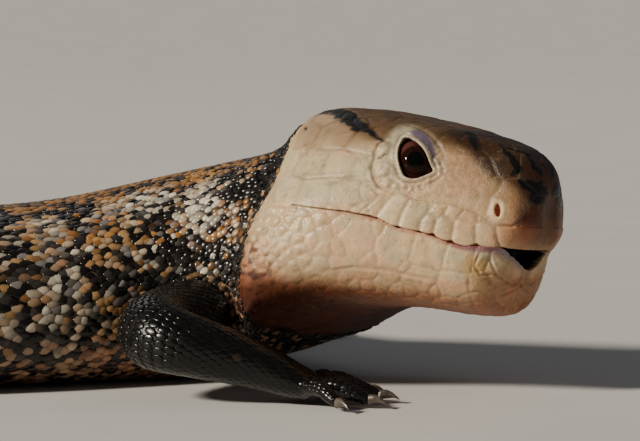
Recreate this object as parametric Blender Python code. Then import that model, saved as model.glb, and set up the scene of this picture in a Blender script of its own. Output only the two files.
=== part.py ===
"""A life-size blue-tongued skink, lying on its belly with its head raised and turned to its right.

The body is one loft from snout to tail tip, divided across into head, neck, trunk and tail.
Sections are in millimetres; the meshes are in metres, with +Z up and the belly's rest face at the origin.
"""

import math

import bmesh
import bpy
import numpy as np
from mathutils import Vector

MM = 0.001

# Driving dimensions, in millimetres, along the midline from the tip of the snout
TOTAL_LENGTH = 530.0
JAW_END = 47.0
NECK_END = 70.0
TRUNK_CUTS = (128.0, 196.0)
VENT = 284.0
TAIL_CUTS = (352.0, 432.0)
FORE_GIRDLE = 64.0
HIND_GIRDLE = 256.0
SNOUT_LEVEL = 34.0
BELLY_MOUNT = 166.0
PART_GAP = 0.4
SINK = 0.9

# Heading of the spine at distances from the snout: degrees that it turns away from the trunk's line
HEADINGS = (
    (0, 35), (56, 35), (84, 2), (112, -13), (160, -12), (200, 2), (240, 14),
    (285, 18), (340, 6), (400, -16), (470, -40), (530, -58),
)
HEADING_SMOOTHING = 21
# Tilt of the head about its own line, right side up: degrees at distances from the snout
TILTS = ((0, 5), (46, 5), (74, 0))

# Sections of the head: distance from the snout, then nine points down the right half as (out, up),
# from the middle of the roof over the brow, cheek, lip and jaw to the middle of the chin.
HEAD_SECTIONS = (
    (0.9, ((0, 0.2), (0.7, 0.0), (1.2, -0.5), (1.6, -1.4), (1.8, -3.0), (1.7, -5.0), (1.4, -6.6), (0.9, -7.6), (0, -8.0))),
    (1.0, ((0, 2.0), (1.4, 1.8), (2.7, 0.9), (3.5, -0.9), (3.9, -3.4), (3.8, -5.8), (3.3, -8.0), (2.0, -9.6), (0, -10.2))),
    (1.8, ((0, 4.0), (2.1, 3.8), (3.9, 2.7), (5.1, 0.2), (5.8, -3.2), (5.8, -6.6), (5.2, -9.4), (3.2, -11.2), (0, -11.8))),
    (2.9, ((0, 5.7), (2.6, 5.5), (5.0, 4.1), (6.6, 1.1), (7.5, -3.2), (7.6, -7.2), (6.9, -10.9), (4.3, -13.2), (0, -14.0))),
    (4.8, ((0, 7.5), (3.1, 7.3), (5.9, 5.7), (7.8, 1.9), (9.1, -3.2), (9.4, -7.6), (8.8, -12.6), (5.6, -17.0), (0, -18.4))),
    (8.0, ((0, 8.8), (3.6, 8.6), (6.9, 6.9), (9.0, 2.6), (10.8, -3.0), (11.3, -7.6), (11.0, -13.2), (7.1, -18.9), (0, -20.5))),
    (13.0, ((0, 9.9), (4.6, 9.7), (8.4, 8.2), (10.7, 3.8), (13.2, -2.2), (13.9, -6.8), (13.7, -13.0), (9.1, -19.2), (0, -20.6))),
    (20.0, ((0, 11.1), (6.0, 11.2), (11.0, 9.9), (14.0, 5.2), (16.3, -0.8), (17.2, -5.4), (17.0, -12.2), (12.2, -18.4), (0, -19.8))),
    (27.0, ((0, 12.3), (6.8, 12.3), (12.2, 10.8), (16.4, 5.8), (19.6, 0.0), (20.7, -4.2), (20.7, -11.6), (15.0, -18.2), (0, -19.8))),
    (34.0, ((0, 13.5), (7.2, 13.2), (13.0, 10.8), (18.2, 5.2), (21.9, -0.4), (23.3, -4.4), (23.6, -11.8), (17.8, -18.6), (0, -20.2))),
    (40.0, ((0, 13.8), (7.2, 13.4), (13.2, 10.2), (18.2, 3.8), (22.4, -1.4), (24.6, -6.4), (25.2, -13.4), (20.0, -20.2), (0, -22.4))),
    (44.0, ((0, 13.2), (6.8, 12.8), (12.2, 9.4), (16.6, 2.8), (21.2, -2.4), (24.6, -8.4), (25.6, -15.2), (20.8, -22.0), (0, -24.6))),
    (47.5, ((0, 10.8), (6.4, 10.4), (11.0, 6.8), (14.6, 0.4), (19.0, -4.8), (23.2, -10.6), (24.4, -17.2), (19.8, -24.2), (0, -26.6))),
    (50.5, ((0, 8.0), (6.2, 7.4), (10.6, 4.0), (14.0, -1.4), (16.6, -6.8), (18.6, -12.6), (18.8, -19.0), (15.6, -25.6), (0, -28.4))),
    (54.0, ((0, 6.2), (6.2, 5.6), (11.0, 2.4), (14.8, -3.0), (17.2, -8.6), (18.4, -14.4), (18.2, -20.6), (14.8, -27.0), (0, -29.8))),
)

# Sections from the neck to the tail tip: distance, half width, top and bottom above the floor
BODY_SECTIONS = (
    (60, 19.6, 38.8, 2.6), (66, 21.2, 37.6, 0.8), (72, 23.6, 36.2, -0.9), (80, 26.8, 34.4, -0.9),
    (90, 30.2, 31.8, -0.9), (102, 33.4, 29.4, -0.9), (118, 36.0, 28.9, -0.9), (140, 37.6, 29.8, -0.9),
    (165, 38.2, 31.0, -0.9), (192, 37.6, 30.8, -0.9), (216, 35.0, 30.2, -0.9), (236, 30.6, 29.2, -0.9),
    (252, 26.4, 28.2, -0.9), (268, 22.4, 27.0, -0.9), (286, 19.2, 25.4, -0.9), (306, 17.6, 24.0, -0.9),
    (330, 15.8, 22.2, -0.7), (360, 13.6, 19.8, -0.7), (395, 11.0, 16.6, -0.6), (432, 8.2, 12.8, -0.5),
    (468, 5.6, 9.0, -0.4), (498, 3.6, 6.0, -0.3), (518, 2.2, 3.9, -0.2), (527, 1.3, 2.5, -0.1), (530, 0.5, 1.4, 0.2),
)
BELLY_SQUARENESS = 2.7
BACK_SQUARENESS = 2.15
WIDEST_AT = 0.40

# Mouth: the edge of the upper and of the lower lip, as (distance, up) from the tip of the snout
UPPER_LIP = (
    (-6, -9.7), (0, -9.7), (1.6, -9.6), (3, -8.8), (5.3, -8.5), (8, -8.5), (10.6, -8.4), (14, -7.2), (16.5, -6.7),
    (22, -4.9), (27.5, -4.0), (31.5, -3.6), (37.5, -3.4), (52, -3.2),
)
LOWER_LIP = (
    (-6, -13.0), (2.6, -12.9), (3.6, -12.5), (4.6, -10.6), (5.8, -9.3), (8, -8.9), (10.6, -8.8), (14, -7.6), (16.5, -7.1),
    (22, -5.3), (27.5, -4.4), (31.5, -4.0), (37.5, -3.8), (52, -3.6),
)

EYE_AT = (21.3, 10.7, 4.4)
EYE_RADIUS = 4.1
SOCKET_GAP = 0.35

# Limbs: joints as (forward, out, up) from the spine over the girdle, then half width and half height there
FORE_REACH = "fore"
HIND_REACH = "hind"
LIMBS = {
    "fore_right": {
        "girdle": FORE_GIRDLE, "side": 1, "kind": FORE_REACH, "toe_turn": 4.0,
        "path": (
            ((2, 8, 12.6), 7.4, 7.2), ((2, 18, 12.6), 7.2, 7.0), ((1.6, 28, 12.2), 6.8, 6.8),
            ((1.6, 37, 11.8), 6.8, 6.7), ((4.8, 42, 11.2), 6.3, 6.2), ((11.3, 40.6, 9.6), 5.7, 5.6),
            ((18.2, 36.6, 7.5), 5.0, 4.8), ((23.2, 34.2, 5.2), 5.0, 4.0), ((27.4, 32.2, 3.4), 5.6, 3.3), ((30.2, 31, 2.6), 4.8, 2.6),
        ),
    },
    "fore_left": {
        "girdle": FORE_GIRDLE, "side": -1, "kind": FORE_REACH, "toe_turn": 18.0,
        "path": (
            ((2, 8, 13), 7.4, 7.2), ((-1, 17, 13), 7.2, 7.0), ((-9, 24, 12.6), 6.8, 6.8),
            ((-18, 29.5, 12.0), 6.8, 6.7), ((-24.0, 34.6, 11.0), 6.3, 6.2), ((-25.6, 41.0, 9.2), 5.7, 5.6),
            ((-24.8, 47.0, 7.2), 5.0, 4.8), ((-23.4, 51.6, 5.0), 5.0, 4.0), ((-21.6, 55.8, 3.4), 5.6, 3.3), ((-20.2, 58.8, 2.6), 4.8, 2.6),
        ),
    },
    "hind_right": {
        "girdle": HIND_GIRDLE, "side": 1, "kind": HIND_REACH, "toe_turn": 34.0,
        "path": (
            ((-2, 5, 15), 8.6, 8.8), ((1, 16, 15.0), 9.0, 9.4), ((6, 28, 14.6), 8.8, 9.0),
            ((10.5, 37.5, 13.0), 7.8, 7.8), ((9.0, 45.0, 10.8), 6.6, 6.8), ((3.0, 50.5, 8.4), 5.6, 5.8),
            ((-2.6, 54.5, 6.4), 4.8, 5.0), ((-5.0, 60.0, 4.6), 5.2, 4.2), ((-3.6, 65.6, 3.3), 6.0, 3.4), ((-1.2, 70, 2.7), 5.2, 2.7),
        ),
    },
    "hind_left": {
        "girdle": HIND_GIRDLE, "side": -1, "kind": HIND_REACH, "toe_turn": 42.0,
        "path": (
            ((-2, 5, 15), 8.6, 8.8), ((-1, 16, 15.0), 9.0, 9.4), ((1, 28, 14.6), 8.8, 9.0),
            ((3.0, 38.0, 13.0), 7.8, 7.8), ((-0.5, 46.0, 10.8), 6.6, 6.8), ((-7.0, 50.5, 8.4), 5.6, 5.8),
            ((-13.0, 54.0, 6.4), 4.8, 5.0), ((-16.4, 59.0, 4.6), 5.2, 4.2), ((-15.8, 64.8, 3.3), 6.0, 3.4), ((-14, 69.4, 2.7), 5.2, 2.7),
        ),
    },
}
# Digits, first to fifth: turn from the foot's line in degrees, seat across the palm, length, half width
DIGITS = {
    FORE_REACH: ((58, 4.2, 6.4, 1.9), (27, 3.0, 8.4, 2.0), (2, 0.4, 9.4, 2.0), (-22, -2.4, 8.6, 2.0), (-56, -4.4, 6.4, 1.8)),
    HIND_REACH: ((46, 4.0, 6.0, 1.9), (20, 3.0, 8.8, 2.0), (2, 0.8, 11.6, 2.1), (-14, -1.8, 13.2, 2.1), (-44, -4.6, 9.6, 1.8)),
}
CLAW_LENGTH = 3.4
CLAW_RADIUS = 0.95
CLAW_GAP = 0.3
SEGMENT_CUTS = (3.25, 6.0)

# Mesh density
RING_POINTS = 24
TAIL_RING_POINTS = 16
LIMB_RING_POINTS = 10
DIGIT_RING_POINTS = 6
CLAW_RING_POINTS = 5

COLOURS = {
    "head": (0.62, 0.47, 0.35, 1), "body": (0.33, 0.24, 0.15, 1), "limb": (0.02, 0.018, 0.016, 1),
    "eye": (0.05, 0.02, 0.012, 1), "tongue": (0.03, 0.05, 0.12, 1), "claw": (0.09, 0.07, 0.055, 1),
}


def clear_scene():
    for obj in list(bpy.data.objects):
        bpy.data.objects.remove(obj)


def new_collection(name):
    collection = bpy.data.collections.new(name)
    bpy.context.scene.collection.children.link(collection)
    return collection


def material(name, roughness=0.4):
    made = bpy.data.materials.get(name)
    if made is None:
        made = bpy.data.materials.new(name)
        made.use_nodes = True
        shader = made.node_tree.nodes["Principled BSDF"]
        shader.inputs["Base Color"].default_value = COLOURS[name]
        shader.inputs["Roughness"].default_value = roughness
        shader.inputs["Metallic"].default_value = 0.0
    return made


def spline_weights(places, count, closed):
    """The weight of each of count control points at each place of a cubic B-spline."""
    places = np.asarray(places, float)
    first = np.floor(places).astype(int)
    t = places - first
    basis = np.stack([
        (1 - t) ** 3, 3 * t**3 - 6 * t**2 + 4, -3 * t**3 + 3 * t**2 + 3 * t + 1, t**3,
    ], 1) / 6
    weights = np.zeros((len(places), count))
    for k in range(4):
        index = first + k - 1
        index = index % count if closed else np.clip(index, 0, count - 1)
        np.add.at(weights, (np.arange(len(places)), index), basis[:, k])
    return weights


class Spine:
    """The midline seen from above: a place and a heading at each distance from the snout."""

    def __init__(self):
        self.s = np.arange(-12.0, TOTAL_LENGTH + 1.0, 0.5)
        keys = np.array(HEADINGS, float)
        angle = np.interp(self.s, keys[:, 0], keys[:, 1])
        half = HEADING_SMOOTHING
        padded = np.pad(angle, half, mode="edge")
        kernel = np.hanning(2 * half + 1)
        self.angle = np.radians(np.convolve(padded, kernel / kernel.sum(), mode="valid"))
        tilts = np.array(TILTS, float)
        self.tilt = np.radians(np.interp(self.s, tilts[:, 0], tilts[:, 1]))
        step = np.stack([-np.cos(self.angle), np.sin(self.angle)], 1) * 0.5
        self.xy = np.cumsum(step, 0)
        self.xy -= self.place(BELLY_MOUNT)

    def place(self, s):
        return np.stack([np.interp(s, self.s, self.xy[:, k]) for k in (0, 1)], -1)

    def right(self, s):
        angle = np.interp(s, self.s, self.angle)
        return np.stack([-np.sin(angle), -np.cos(angle)], -1)

    def world(self, along, out, up):
        """Points in millimetres from distance along the spine, distance to the right of it, and height."""
        out, up = np.asarray(out, float), np.asarray(up, float) - SNOUT_LEVEL
        tilt = np.interp(along, self.s, self.tilt)
        across = out * np.cos(tilt) - up * np.sin(tilt)
        height = out * np.sin(tilt) + up * np.cos(tilt) + SNOUT_LEVEL
        xy = self.place(along) + self.right(along) * across[..., None]
        return np.concatenate([xy, height[..., None]], -1)


def body_section(width, top, bottom):
    """Nine points down the right half of a rounded section with a flattened belly."""
    middle = bottom + (top - bottom) * WIDEST_AT
    points = []
    for k in range(9):
        angle = math.radians(90 - 22.5 * k)
        upper = k <= 4
        power = 2 / (BACK_SQUARENESS if upper else BELLY_SQUARENESS)
        reach = (top if upper else bottom) - middle
        out = width * abs(math.cos(angle)) ** power
        up = middle + reach * abs(math.sin(angle)) ** power
        points.append((out if 0 < k < 8 else 0.0, up))
    return points


def body_cage():
    """The control rings of the whole body as an array: ring, point, (along, out, up)."""
    rings = []
    for along, half in HEAD_SECTIONS:
        rings.append((along, [(out, up + SNOUT_LEVEL) for out, up in half]))
    for along, width, top, bottom in BODY_SECTIONS:
        rings.append((along, body_section(width, top, bottom)))
    cage = []
    for along, half in rings:
        right = [(along, out, up) for out, up in half]
        left = [(along, -out, up) for out, up in half[-2:0:-1]]
        cage.append(right + left)
    return np.array(cage, float)


class Body:
    """The lofted surface of the body."""

    def __init__(self, spine):
        self.spine = spine
        around = np.linalg.inv(spline_weights(np.arange(16), 16, True))
        self.cage = np.einsum("jk,ikl->ijl", around, body_cage())
        self.count = len(self.cage)
        self.u = np.linspace(0, self.count - 1, 4000)
        self.along = spline_weights(self.u, self.count, False) @ self.cage[:, 0, 0]

    def ring(self, s, points, grow=0.0):
        """One ring of world points at distance s, counted round from the roof of the back to the right."""
        u = np.interp(s, self.along, self.u)
        across = np.arange(points) * 16 / points
        local = np.einsum("i,ijk->jk", spline_weights([u], self.count, False)[0], self.cage)
        local = spline_weights(across, 16, True) @ local
        if grow:
            centre = local[:, 1:].mean(0)
            off = local[:, 1:] - centre
            local[:, 1:] += off / np.linalg.norm(off, axis=1)[:, None] * grow
        ring = self.spine.world(local[:, 0], local[:, 1], local[:, 2])
        if not grow:
            ring[:, 2] = np.maximum(ring[:, 2], 0.0)
        return ring


def loft(name, rings, collection, colour, tip=None):
    """A closed mesh through rings of points in millimetres, with flat ends, or with a point at its first end."""
    mesh = bpy.data.meshes.new(name)
    bm = bmesh.new()
    rows = [[bm.verts.new(Vector(p) * MM) for p in ring] for ring in rings]
    count = len(rows[0])
    for a, b in zip(rows, rows[1:]):
        for k in range(count):
            n = (k + 1) % count
            bm.faces.new((a[k], a[n], b[n], b[k]))
    if tip is None:
        bm.faces.new(rows[0][::-1])
    else:
        peak = bm.verts.new(Vector(tip) * MM)
        for k in range(count):
            bm.faces.new((peak, rows[0][(k + 1) % count], rows[0][k]))
    bm.faces.new(rows[-1])
    bmesh.ops.recalc_face_normals(bm, faces=bm.faces)
    bm.to_mesh(mesh)
    bm.free()
    obj = bpy.data.objects.new(name, mesh)
    collection.objects.link(obj)
    mesh.materials.append(material(colour))
    mesh.shade_smooth()
    mesh.set_sharp_from_angle(angle=math.radians(50))
    return obj


def boolean(obj, cutter, operation="DIFFERENCE"):
    modifier = obj.modifiers.new(operation.lower(), "BOOLEAN")
    modifier.operation = operation
    modifier.object = cutter
    modifier.solver = "EXACT"
    cutter.hide_render = True
    cutter.display_type = "WIRE"


def body_part(body, name, start, end, steps, points, collection, colour):
    """One length of the body between two cuts across it."""
    half = PART_GAP / 2
    places = np.linspace(start + half, end - half, steps + 1)
    return loft(name, [body.ring(s, points) for s in places], collection, colour)


def head_loft(body, name, end, collection, colour="head"):
    """The head as one closed piece, its rings closer together at the snout."""
    share = np.linspace(0, 1, 21) ** 1.4
    places = body.along[1] + (end - PART_GAP / 2 - body.along[1]) * share
    rings = [body.ring(s, RING_POINTS) for s in places]
    middle = rings[0].mean(0)
    forward = -np.append(np.array([-math.cos(body.spine.angle[0]), math.sin(body.spine.angle[0])]), 0)
    return loft(name, rings, collection, colour, tip=middle + forward * 0.12)


def side_cutter(name, spine, lip, level, collection):
    """A block as wide as the head that reaches from the lip's edge to a level far above or below it."""
    half_width = 34.0
    outline = [(s, up + SNOUT_LEVEL) for s, up in lip]
    outline += [(lip[-1][0], level), (lip[0][0], level)]
    along = np.array([s for s, _ in outline])
    up = np.array([height for _, height in outline])
    rings = [spine.world(along, np.full(len(along), out), up) for out in (-half_width, half_width)]
    return loft(name, rings, collection, "head")


def sphere(name, centre, radius, collection, colour, segments=14):
    mesh = bpy.data.meshes.new(name)
    bm = bmesh.new()
    bmesh.ops.create_uvsphere(bm, u_segments=segments, v_segments=segments // 2 + 2, radius=radius * MM)
    bm.to_mesh(mesh)
    bm.free()
    mesh.shade_smooth()
    mesh.materials.append(material(colour, 0.08))
    obj = bpy.data.objects.new(name, mesh)
    obj.location = Vector(centre) * MM
    collection.objects.link(obj)
    return obj


def make_head(body, parts, cutters):
    """Skull half and lower jaw, parted along the lips, with sockets for the eyes and the tongue between."""
    spine = body.spine
    below = side_cutter("below_upper_lip", spine, UPPER_LIP, -30.0, cutters)
    above = side_cutter("above_lower_lip", spine, LOWER_LIP, 80.0, cutters)
    head = head_loft(body, "head", JAW_END, parts)
    jaw = head_loft(body, "lower_jaw", JAW_END, parts)
    boolean(head, below)
    boolean(jaw, above)
    along, out, up = EYE_AT
    for side, name in ((1, "right"), (-1, "left")):
        centre = spine.world(along, out * side, up + SNOUT_LEVEL)
        sphere("eye_" + name, centre, EYE_RADIUS, parts, "eye")
        socket = sphere("socket_" + name, centre, EYE_RADIUS + SOCKET_GAP, cutters, "eye")
        boolean(head, socket)
    make_tongue(spine, parts)


def make_tongue(spine, parts):
    """The front of the tongue, which lies between the parted lips: distance, half width, top and bottom."""
    sections = ((2.2, 1.8, -10.4, -12.2), (2.9, 3.6, -9.6, -12.4), (3.8, 5.2, -9.1, -11.8), (4.8, 5.8, -8.9, -10.0), (5.6, 5.4, -8.8, -9.25))
    rings = []
    for along, width, top, bottom in sections:
        middle, half = (top + bottom) / 2, (top - bottom) / 2
        angles = np.arange(14) * 2 * math.pi / 14
        out = width * np.sin(angles)
        up = middle + half * np.cos(angles) + SNOUT_LEVEL
        rings.append(spine.world(np.full(14, along), out, up))
    loft("tongue", rings, parts, "tongue")


class Limb:
    """A tube of rounded sections from the girdle to the palm."""

    def __init__(self, spine, name):
        spec = LIMBS[name]
        self.spine = spine
        self.side = spec["side"]
        self.kind = spec["kind"]
        self.toe_turn = spec["toe_turn"]
        self.frame = self.girdle_frame(spec["girdle"])
        path = spec["path"]
        self.points = np.array([self.to_world(joint) for joint, _, _ in path])
        self.halves = np.array([(wide, high) for _, wide, high in path])
        self.last = len(path) - 1

    def girdle_frame(self, girdle):
        origin = np.append(self.spine.place(girdle), 0)
        right = np.append(self.spine.right(girdle), 0)
        forward = np.array([-right[1], right[0], 0])
        return origin, forward, right * self.side

    def to_world(self, joint):
        origin, forward, outward = self.frame
        return origin + forward * joint[0] + outward * joint[1] + np.array([0, 0, joint[2]])

    def at(self, u):
        weights = spline_weights([u], len(self.points), False)[0]
        return weights @ self.points, weights @ self.halves

    def tangent(self, u):
        step = 0.02
        ahead, behind = self.at(min(u + step, self.last))[0], self.at(max(u - step, 0))[0]
        return (ahead - behind) / np.linalg.norm(ahead - behind)

    def ring(self, u, points):
        centre, (wide, high) = self.at(u)
        along = self.tangent(u)
        across = np.cross(along, (0, 0, 1))
        across /= np.linalg.norm(across)
        upward = np.cross(across, along)
        angles = np.arange(points) * 2 * math.pi / points
        ring = centre + np.outer(np.cos(angles) * wide, across) + np.outer(np.sin(angles) * high, upward)
        ring[:, 2] = np.maximum(ring[:, 2], 0.0)
        return ring

    def length(self, start, end, steps):
        """The rings of one segment, drawn in at both ends so that the next segment doesn't touch it."""
        rings = [self.ring(u, LIMB_RING_POINTS) for u in np.linspace(start, end, steps + 1)]
        rings[0] = rings[0] + self.tangent(start) * PART_GAP / 2
        rings[-1] = rings[-1] - self.tangent(end) * PART_GAP / 2
        for ring in rings:
            ring[:, 2] = np.maximum(ring[:, 2], 0.0)
        return rings


def digit_path(limb, turn, seat, length):
    """Points from inside the palm to the tip of a digit, arched over its knuckle."""
    palm, _ = limb.at(limb.last - 1.0)
    line = limb.tangent(limb.last - 0.5)
    line[2] = 0
    line /= np.linalg.norm(line)
    across = np.array([-line[1], line[0], 0]) * limb.side
    angle = math.radians(turn * 0.9 - limb.toe_turn * 0.35)
    way = line * math.cos(angle) + across * math.sin(angle)
    base = palm + across * seat * 0.62
    heights = (3.0, 3.3, 3.5, 2.4, 1.55)
    reaches = (0.0, 2.6, 3.2 + length * 0.34, 3.2 + length * 0.74, 3.2 + length)
    points = [base + way * reach for reach in reaches]
    for point, height in zip(points, heights):
        point[2] = height
    return np.array(points), way


def digit_rings(path, way, half):
    """Round sections along a digit; the last one stands upright, as the claw's root does."""
    taper = (1.0, 1.0, 0.98, 0.86, 0.62)
    rings = []
    for k, (centre, share) in enumerate(zip(path, taper)):
        ahead, behind = path[min(k + 1, len(path) - 1)], path[max(k - 1, 0)]
        along = way if k == len(path) - 1 else (ahead - behind) / np.linalg.norm(ahead - behind)
        across = np.cross(along, (0, 0, 1))
        across /= np.linalg.norm(across)
        upward = np.cross(across, along)
        angles = np.arange(DIGIT_RING_POINTS) * 2 * math.pi / DIGIT_RING_POINTS
        ring = centre + np.outer(np.cos(angles), across) * half * share + np.outer(np.sin(angles), upward) * half * share * 0.92
        ring[:, 2] = np.maximum(ring[:, 2], 0.0)
        rings.append(ring)
    return rings


def make_claw(name, tip, way, parts):
    """A claw that curves down from the end of a digit to the floor."""
    rings = []
    start = tip + way * CLAW_GAP
    for k in range(4):
        share = k / 4
        centre = start + way * CLAW_LENGTH * share
        centre[2] = tip[2] + 0.35 * math.sin(share * math.pi) - 0.75 * share**2
        radius = CLAW_RADIUS * (1 - share) ** 0.75
        across = np.cross(way, (0, 0, 1))
        angles = np.arange(CLAW_RING_POINTS) * 2 * math.pi / CLAW_RING_POINTS
        ring = centre + np.outer(np.cos(angles), across) * radius * 0.75 + np.outer(np.sin(angles), (0, 0, 1)) * radius
        ring[:, 2] = np.maximum(ring[:, 2], 0.05)
        rings.append(ring)
    peak = start + way * CLAW_LENGTH
    peak[2] = tip[2] - 0.95
    loft(name, rings[::-1], parts, "claw", tip=peak)


def union_all(name, pieces, parts, colour):
    """One closed piece from overlapping ones."""
    whole = pieces[0]
    for other in pieces[1:]:
        boolean(whole, other, "UNION")
    graph = bpy.context.evaluated_depsgraph_get()
    mesh = bpy.data.meshes.new_from_object(whole.evaluated_get(graph))
    mesh.name = name
    obj = bpy.data.objects.new(name, mesh)
    parts.objects.link(obj)
    for piece in pieces:
        bpy.data.objects.remove(piece)
    mesh.materials.clear()
    mesh.materials.append(material(colour))
    mesh.shade_smooth()
    mesh.set_sharp_from_angle(angle=math.radians(50))
    return obj


def make_limb(spine, name, trunk_cutter, parts, cutters):
    limb = Limb(spine, name)
    elbow, wrist = SEGMENT_CUTS
    upper = loft(name + "_upper", limb.length(0.6, elbow, 8), parts, "limb")
    boolean(upper, trunk_cutter)
    loft(name + "_lower", limb.length(elbow, wrist, 8), parts, "limb")
    pieces = [loft(name + "_palm", limb.length(wrist, limb.last - 0.3, 6), cutters, "limb")]
    for number, (turn, seat, length, half) in enumerate(DIGITS[limb.kind], 1):
        path, way = digit_path(limb, turn, seat, length)
        pieces.append(loft(f"{name}_digit_{number}", digit_rings(path, way, half), cutters, "limb"))
        make_claw(f"claw_{name}_{number}", path[-1], way, parts)
    foot = "hand" if limb.kind == FORE_REACH else "foot"
    union_all(f"{name}_{foot}", pieces, parts, "limb")


def make_body_parts(body, parts):
    first, second = TRUNK_CUTS
    base, middle = TAIL_CUTS
    points, tail_points = RING_POINTS, TAIL_RING_POINTS
    body_part(body, "neck", JAW_END, NECK_END, 8, points, parts, "body")
    body_part(body, "trunk_front", NECK_END, first, 11, points, parts, "body")
    body_part(body, "trunk_middle", first, second, 9, points, parts, "body")
    body_part(body, "trunk_rear", second, VENT, 12, points, parts, "body")
    body_part(body, "tail_base", VENT, base, 10, tail_points, parts, "body")
    body_part(body, "tail_middle", base, middle, 11, tail_points, parts, "body")
    body_part(body, "tail_tip", middle, body.along[-1], 13, tail_points, parts, "body")


def main():
    clear_scene()
    parts = new_collection("skink")
    cutters = new_collection("cutters")
    spine = Spine()
    body = Body(spine)
    make_head(body, parts, cutters)
    make_body_parts(body, parts)
    cutter_places = np.linspace(JAW_END + 3, VENT + 8, 64)
    cutter_rings = [body.ring(s, RING_POINTS, grow=PART_GAP) for s in cutter_places]
    trunk_cutter = loft("trunk_cutter", cutter_rings, cutters, "body")
    for name in LIMBS:
        make_limb(spine, name, trunk_cutter, parts, cutters)


main()
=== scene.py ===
"""Surface, scales, eyes, claws and lighting of a life-size blue-tongued skink at rest."""

import math

import bmesh
import bpy
import numpy as np
from mathutils import Matrix, Vector
from mathutils.bvhtree import BVHTree


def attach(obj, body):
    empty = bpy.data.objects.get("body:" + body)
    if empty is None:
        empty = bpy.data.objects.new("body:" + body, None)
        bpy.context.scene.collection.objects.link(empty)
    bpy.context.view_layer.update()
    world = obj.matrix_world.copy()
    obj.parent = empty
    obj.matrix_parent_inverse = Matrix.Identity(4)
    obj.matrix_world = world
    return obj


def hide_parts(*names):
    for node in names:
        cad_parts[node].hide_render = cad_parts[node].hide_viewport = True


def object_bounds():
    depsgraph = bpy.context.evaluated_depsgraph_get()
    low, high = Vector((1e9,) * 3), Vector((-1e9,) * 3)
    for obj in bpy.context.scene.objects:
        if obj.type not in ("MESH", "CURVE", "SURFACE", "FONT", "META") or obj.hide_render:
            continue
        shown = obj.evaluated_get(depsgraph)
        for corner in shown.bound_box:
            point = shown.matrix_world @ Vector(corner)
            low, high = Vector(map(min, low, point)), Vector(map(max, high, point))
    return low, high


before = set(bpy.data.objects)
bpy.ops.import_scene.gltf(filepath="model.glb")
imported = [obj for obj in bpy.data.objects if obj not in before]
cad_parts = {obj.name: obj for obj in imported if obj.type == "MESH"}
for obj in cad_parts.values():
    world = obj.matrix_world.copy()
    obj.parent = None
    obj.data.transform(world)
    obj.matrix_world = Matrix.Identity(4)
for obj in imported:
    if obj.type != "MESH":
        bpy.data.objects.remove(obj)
CAD_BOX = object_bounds()

MM = 0.001

# Driving dimensions in millimetres, along the midline from the tip of the snout
TOTAL_LENGTH = 530.0
FORE_GIRDLE = 64.0
HIND_GIRDLE = 256.0
SNOUT_LEVEL = 34.0
BELLY_MOUNT = 166.0
HEADINGS = (
    (0, 35), (56, 35), (84, 2), (112, -13), (160, -12), (200, 2), (240, 14),
    (285, 18), (340, 6), (400, -16), (470, -40), (530, -58),
)
HEADING_SMOOTHING = 21
TILTS = ((0, 5), (46, 5), (74, 0))

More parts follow.
